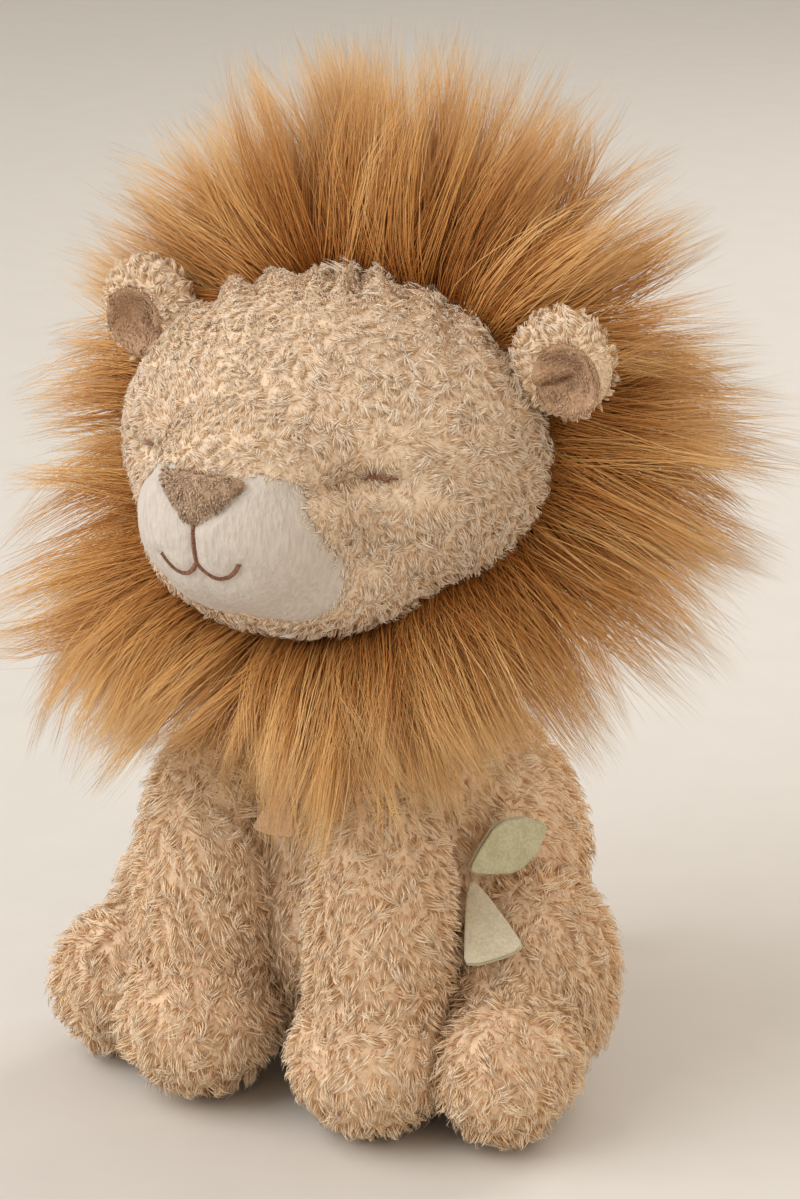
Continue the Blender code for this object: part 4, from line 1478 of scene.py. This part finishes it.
def hair_path(angle, depth, share, lean, sway):
    """Hair from the strip to its tip: (n, points, xyz) in mm."""
    angle = (angle + math.pi) % (2 * math.pi) - math.pi
    up = np.sin(angle)
    low = smooth_step(-up)
    root_r = look_up(angle, depth) - 0.8
    root = np.stack([
        root_r * np.cos(angle), strip_y(low, depth) - middle_y, mane_middle + root_r * up
    ], axis=1)
    reach = tip_distance(up, low, angle) * share + 10 * bell(-up - 0.5, 0.3) * share
    across, tip_angle = np.cos(angle), angle + sway
    turned = np.where(across > 0, across, across * smooth_step(0.75 - 1.9 * up))
    tip_y = crown_tip_y + (chin_tip_y - crown_tip_y) * low
    tip_y = tip_y + 24 * (depth - 0.35) + lean + 11 * turned
    tip = np.stack([
        reach * np.cos(tip_angle) * (1 - 0.06 * low), tip_y - middle_y,
        mane_middle + reach * np.sin(tip_angle),
    ], axis=1)
    t = np.linspace(0, 1, hair_points)[None, :, None]
    bulge = (t * (1 - t))[:, :, 0]
    path = root[:, None] * (1 - t) + tip[:, None] * t
    outward = unit(np.stack([across, -0.5 * low, np.sin(angle)], axis=1))[:, None]
    path = path + outward * (4.0 + low[:, None, None]) * t * (1 - t)
    path[:, :, 1] += -9.0 * low[:, None] * bulge
    path[:, :, 1] += -7.0 * (1 - low)[:, None] * bulge
    path[:, :, 2] -= (4.0 * (1 - np.abs(up))[:, None]) * (t ** 2)[:, :, 0]
    return path


print("hair reaches", side_reach, "mm at the sides and", side_reach - crown_loss, "mm above")

# %% [markdown]
# ## Locks and wisps
# Long fur isn't a bundle of single hairs: it hangs in locks, each of several wisps, whose hairs
# start apart at the seam and close towards a common tip. So five numbers say how a lock lies:
# where it starts round the head and how deep in the strip, its share of the full length, and how
# it leans and sways. Wisps scatter closely round their lock, and hairs round their wisp.


# %% Locks, and what lies near them
def flow(angle, seed):
    """A slow sway of neighbouring locks."""
    return np.array([
        noise.noise(Vector((math.cos(a) * 2.2, math.sin(a) * 2.2, seed))) for a in angle
    ])


def lay_locks(chance, angle_from, angle_to, locks):
    """Angle, depth, share of the full length, lean and sway of each lock."""
    angle = np.linspace(angle_from, angle_to, locks) + chance.normal(0, 0.03, locks)
    depth = chance.random(locks) ** 1.15
    share = 1 - 0.24 * chance.random(locks) ** 1.5
    lean = chance.normal(0, 2.6, locks)
    sway = chance.normal(0, 0.08, locks) + 0.40 * flow(angle, 4.4)
    return angle, depth, share, lean, sway + 0.12 * np.sin(angle * 3 + depth * 6)


def lay_near(chance, parents, which, spread, shorter, power):
    """The same five numbers for children, each near its own parent."""
    angle, depth, share, lean, sway = (each[which] for each in parents)
    count = len(which)
    return (
        angle + chance.normal(0, spread[0], count),
        np.clip(depth + chance.normal(0, spread[1], count), 0, 1),
        share * (1 - shorter * chance.random(count) ** power),
        lean + chance.normal(0, spread[2], count),
        sway + chance.normal(0, spread[3], count),
    )


wisp_spread, hair_spread = (0.055, 0.10, 2.2, 0.05), (0.05, 0.06, 1.8, 0.035)
print("wisps lie within", round(math.degrees(wisp_spread[0]), 1), "degrees of their lock")

# %% [markdown]
# ## Hairs that close into locks
# A hair follows its own path at the root and more and more its wisp's, and a wisp its lock's. A
# few strays keep to themselves, which softens the outline. The hairs of a wisp bow and wave
# together, so that it looks combed and not like wire.


# %% Hairs that close into locks
def close_up(chance, own, wisp_path, lock_path):
    """Each hair nears its wisp, and its wisp the lock, towards the tip."""
    t = np.linspace(0, 1, hair_points)[None, :, None]
    close = chance.uniform(0.45, 0.92, (len(own), 1, 1)) * smooth_step(t * 1.3)
    stray = chance.random((len(own), 1, 1)) < 0.08
    close = np.where(stray, close * 0.1, close)
    path = own + close * (wisp_path - own)
    return path + 0.62 * t ** 1.6 * (lock_path - wisp_path) * np.where(stray, 0.2, 1)


def bend_and_wave(chance, path, angle, locks, wisps, lock_of_hair, wisp_of_hair):
    """Locks bow sideways, and their wisps wave a little."""
    t = np.linspace(0, 1, hair_points)[None, :, None]
    tangent = np.stack([-np.sin(angle), 0 * angle, np.cos(angle)], axis=1)[:, None]
    bow = chance.normal(0, 3.4, locks)[lock_of_hair] + chance.normal(0, 1.3, wisps)[wisp_of_hair]
    path = path + tangent * bow[:, None, None] * t * (1 - t) * 3
    wave = chance.normal(0, 1.2, (wisps, 1, 3))[wisp_of_hair]
    wave = wave + chance.normal(0, 0.35, (len(path), 1, 3))
    phase = chance.uniform(0, 6.3, (wisps, 1, 1))[wisp_of_hair]
    return path + wave * t * np.sin(t * 6 + phase)


print("hairs have", hair_points, "points")

# %% [markdown]
# ## A section of the ruff
# The ruff is made in sections, because no piece may have too many faces. Each one lays its locks,
# wisps and hairs, and gives every lock its own shade. Hairs thin out towards their tips, so the
# edge of the ruff lets light through.


# %% A section of the ruff
def ruff(name, path_of, angle_from, angle_to, locks, wisps, hairs, seed, radius=0.118):
    chance = np.random.default_rng(seed)
    lock = lay_locks(chance, angle_from, angle_to, locks)
    lock_of_wisp = np.repeat(np.arange(locks), wisps)
    wisp = lay_near(chance, lock, lock_of_wisp, wisp_spread, 0.22, 1.4)
    wisp_count = len(lock_of_wisp)
    wisp_of_hair = np.repeat(np.arange(wisp_count), hairs)
    lock_of_hair = lock_of_wisp[wisp_of_hair]
    own = path_of(*lay_near(chance, wisp, wisp_of_hair, hair_spread, 0.30, 2))
    path = close_up(chance, own, path_of(*wisp)[wisp_of_hair], path_of(*lock)[lock_of_hair])
    path = bend_and_wave(
        chance, path, wisp[0][wisp_of_hair], locks, wisp_count, lock_of_hair, wisp_of_hair
    )
    taper = np.interp(np.linspace(0, 1, hair_points - 1), [0, 0.2, 0.7, 1], [0.8, 1, 0.75, 0.3])
    radii = radius * chance.uniform(0.7, 1.25, (len(path), 1)) * taper[None]
    tone = (
        0.52 + 0.19 * chance.normal(size=locks)[lock_of_hair]
        + 0.15 * chance.normal(size=wisp_count)[wisp_of_hair]
        + 0.08 * chance.normal(size=len(path))
    )
    facing = np.tile([0.0, -1.0 if path_of is hair_path else 1.0, 0.0], (len(path), 1))
    piece = place_strands(name, path, radii, tone, facing, mane_pile, "head", seed)
    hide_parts("mane")


for name, angle_from, angle_to, locks, seed in (
    ("mane_crown_left", 42, 92, 48, 51),
    ("mane_crown_right", 88, 138, 48, 52),
    ("mane_side_left", -48, 44, 78, 53),
    ("mane_side_right", 136, 228, 79, 54),
    ("mane_fringe", -142, -38, 68, 55),
):
    ruff(name, hair_path, math.radians(angle_from), math.radians(angle_to), locks, 7, 12, seed)

# %% [markdown]
# ## The back of the ruff
# Behind the head the fur is sewn on a cap. At the cap's rim it stands outwards with the rest of the
# ruff, and in the middle it falls, so the two ways have to be mixed with some chance in between,
# or the locks would part in a star. It is seen only from behind, so its hairs are fewer and wider.

# %% The back of the ruff
cap_y, cap_z, cap_wide, cap_tall, cap_deep = 54.0, 148.0, 50.0, 44.0, 17.0


def back_path(angle, depth, share, lean, sway):
    """Hair on the back of the cap: it stands outwards at the rim, and falls in the middle."""
    across, up = np.cos(angle), np.sin(angle)
    near = 1 - 0.9 * depth
    x, z = cap_wide * near * across, cap_tall * near * up
    y = cap_y + cap_deep * np.sqrt(np.maximum(0, 1 - near ** 2)) - 0.5
    root = np.stack([x, y - middle_y, cap_z + z], axis=1)
    low = smooth_step(-up * 1.6)
    length = (38 - 16 * low) * share
    turned, fall = angle + sway, smooth_step(1.6 * depth - 0.1 + 0.12 * lean)
    way = np.stack([
        np.cos(turned) * (1 - fall) + (2.2 * sway + 0.25 * across) * fall, 0 * up,
        np.sin(turned) * (1 - fall) - fall,
    ], axis=1)
    tip = root + unit(way) * length[:, None]
    tip[:, 1] = 66 + 4 * depth * (1 - low) + lean - middle_y
    tip[:, 2] -= 5 * (1 - np.abs(up))
    t = np.linspace(0, 1, hair_points)[None, :, None]
    path = root[:, None] * (1 - t) + tip[:, None] * t
    path[:, :, 1] += 20.0 * (t * (1 - t))[:, :, 0]
    return path


ruff("mane_back", back_path, -math.pi, math.pi, 92, 4, 10, 56, radius=0.2)

# %% [markdown]
# ## The cap
# The cap is the cloth that the back's fur is sewn to. It only has to close the gaps between the
# locks, painted the dark brown of the shade deep in the fur, so one flattened ball is enough.

# %% The furry cap behind the head
cap_lobe = ((0, cap_y, cap_z), (cap_wide * 2, cap_deep * 2, cap_tall * 2))
mane_cap = stuffed_form("mane_cap", [cap_lobe], 0.5, voxel=2.5)
dress(mane_cap, mane_shade_ground, "head", "mane_fur", "mane")

# %% [markdown]
# ## Leaves
# Small leaves of brushed cotton, each of two plies, are sewn to the left flank, and a single one to
# the chest. Brushing raises a short nap over a flat dye, so a fine noise mottles the colour and a
# slower one clouds it, and a little sheen catches the light on the raised fibres.


# %% A leaf's cloth
def felt_finish(name, dark, light):
    """Brushed cotton: a fine uneven nap over a flat dye."""
    felt = Finish(name, Roughness=0.9, Sheen_Weight=0.25, Sheen_Roughness=0.5)
    place = felt.node("TexCoord", output=3)
    nap = felt.node("TexNoise", {}, {"Vector": place, "Scale": 1500.0, "Detail": 4.0})
    cloud = felt.node("TexNoise", {}, {"Vector": place, "Scale": 260.0})
    mottle = (0.65 * nap + 0.35 * cloud).between(0.35, 0.65)
    bump = felt.node("Bump", {}, {"Strength": 0.7, "Distance": 0.0002, "Height": nap})
    print(f"{name}: from {dark} to {light}")
    return felt.give(Base_Color=felt.blend(mottle, (*dark, 1), (*light, 1)), Normal=bump)


green_felt = felt_finish("green_felt", (0.50, 0.49, 0.30), (0.64, 0.62, 0.44))
cream_felt = felt_finish("cream_felt", (0.57, 0.52, 0.38), (0.71, 0.65, 0.50))
tan_felt = felt_finish("tan_felt", (0.44, 0.25, 0.13), (0.60, 0.38, 0.23))

# %% [markdown]
# ## One ply of a leaf
# A ply is drawn flat, as it was cut, on the axes of its leaf: across it, out of its face, and along
# it from the seam. It is then bent away from the seam and folded a little along its rib. Because
# the cut is known, its flat size and area are worked out and printed.

# %% One ply of a leaf
pointed_leaf = [(0.10, 0.02), (0.55, 0.22), (0.96, 0.45), (1.0, 0.60), (0.72, 0.82), (0.10, 1.0)]
cut_leaf = [(0.08, 0.0), (0.42, 0.28), (0.74, 0.62), (1.0, 0.93), (0.60, 0.99), (0.20, 1.0)]
ply_thick, ply_gap = 0.55, 1.1


def leaf_axes(along, outward):
    along = Vector(along).normalized()
    face = Vector(outward)
    face = (face - along * face.dot(along)).normalized()
    return along.cross(face), face, along


def leaf_ply(name, side, half, length, seam, axes, depth, curl, finish, body, slot, node):
    """One ply, its face outwards, that bends away from its seam by its curl."""
    across, face, along = axes
    outline = both_sides(side, half, 0, length)
    patch, angle, share = disc_grid(name, 24, 24)
    middle, reach = edge_reach(outline, angle)
    x, z = share * reach * np.cos(angle), middle[1] + share * reach * np.sin(angle)
    away = curl * (z / length) ** 2 - 0.05 * np.abs(x) - depth
    for vertex, x_here, z_here, out in zip(patch.data.vertices, x, z, away):
        vertex.co = Vector(seam) + (across * x_here + along * z_here + face * out) * mm
    make_cloth(patch, ply_thick)
    dress(patch, finish, body, slot, node)
    turns = np.linspace(-math.pi, math.pi, 180, endpoint=False)
    area = (edge_reach(outline, turns)[1] ** 2).sum() * math.pi / 180
    area * mm * mm
    print(f"{name}: cut from {2 * half:.1f} by {length:.1f} mm, {area:.0f} square mm")


# %% [markdown]
# ## The leaves
# The green leaf points up and back along the flank and the cream one down and forward, from seams
# a hair apart, each with a ply of the other's colour behind it. The tan leaf hangs from the chest,
# mostly hidden by the ruff, so it takes its place from the CAD leaf's own box.

# %% The leaves
green_axes = leaf_axes((0.46, 0.81, 0.36), (0.8516, -0.5184, 0.0782))
green_seam = (0.03674, -0.02572, 0.05763)
leaf_ply("leaf_green_front", pointed_leaf, 6.0, 20.0, green_seam, green_axes, 0, 1.0,
         green_felt, "leaf_green", "green_felt", "leaf_green")
leaf_ply("leaf_green_back", pointed_leaf, 6.0, 20.0, green_seam, green_axes, ply_gap, 0.7,
         cream_felt, "leaf_green", "cream_felt", "leaf_green_backing")
cream_axes = leaf_axes((0.57, -0.46, -0.68), (0.48, -0.83, 0.29))
cream_seam = (0.03706, -0.02595, 0.05605)
leaf_ply("leaf_cream_front", cut_leaf, 6.5, 19.0, cream_seam, cream_axes, 0, 0.6,
         cream_felt, "leaf_cream", "cream_felt", "leaf_beige")
leaf_ply("leaf_cream_back", cut_leaf, 6.5, 19.0, cream_seam, cream_axes, ply_gap, 0.3,
         green_felt, "leaf_cream", "green_felt", "leaf_beige_backing")
tan_low, tan_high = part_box("leaf_tan")
leaf_ply("leaf_tan_cloth", cut_leaf, 5.3, 11.0, (0, tan_low.y + 0.004, tan_high.z),
         leaf_axes((0, -0.45, -1), (0, -1, 0)), 0, 0.3,
         tan_felt, "torso", "tan_felt", "leaf_tan")

# %% [markdown]
# ## The tail's tuft
# The tail ends in a brush of the ruff's fur. A small core holds it, and long strands with little
# curl are combed down over the core and gathered to a point.

# %% The tail's tuft
tuft_core = stuffed_form("tuft_core", [((0, 112, 19), (9, 9, 16))], 0.3, voxel=1.0)
# painted shade: the core is the dark brown of the shade inside the tuft
dress(tuft_core, mane_shade_ground, "tail", "mane_fur", "tail_tuft")
tufts(tuft_core, "tail_tuft_pile", "tail", "mane_fur", mane_pile, density=2.2, spacing=3.0,
      length=8.0, height=2.4, comb=lambda points: 2 * downwards(points), seed=27, points=5,
      thick=0.2, noisy=0.3, gather=0.6)

# %% [markdown]
# ## The floor
# Plain pale paper, so that nothing but the toy is looked at. It is a disc, wide enough to reach the
# horizon from every side, with the faintest unevenness in its colour.

# %% Floor
floor_radius = 6
bpy.ops.mesh.primitive_circle_add(
    vertices=96, radius=floor_radius, fill_type="NGON", location=(0, 0, 0)
)
floor = bpy.context.object
floor.name = "floor"
paper = Finish("floor_paper", Roughness=0.85)
grain = paper.node("TexNoise", {}, {"Vector": paper.node("TexCoord", output=3), "Scale": 60.0})
floor_tone = paper.blend(grain, (0.66, 0.64, 0.61, 1), (0.70, 0.68, 0.65, 1))
floor.data.materials.append(paper.give(Base_Color=floor_tone))
print("floor:", 2 * floor_radius, "m across")
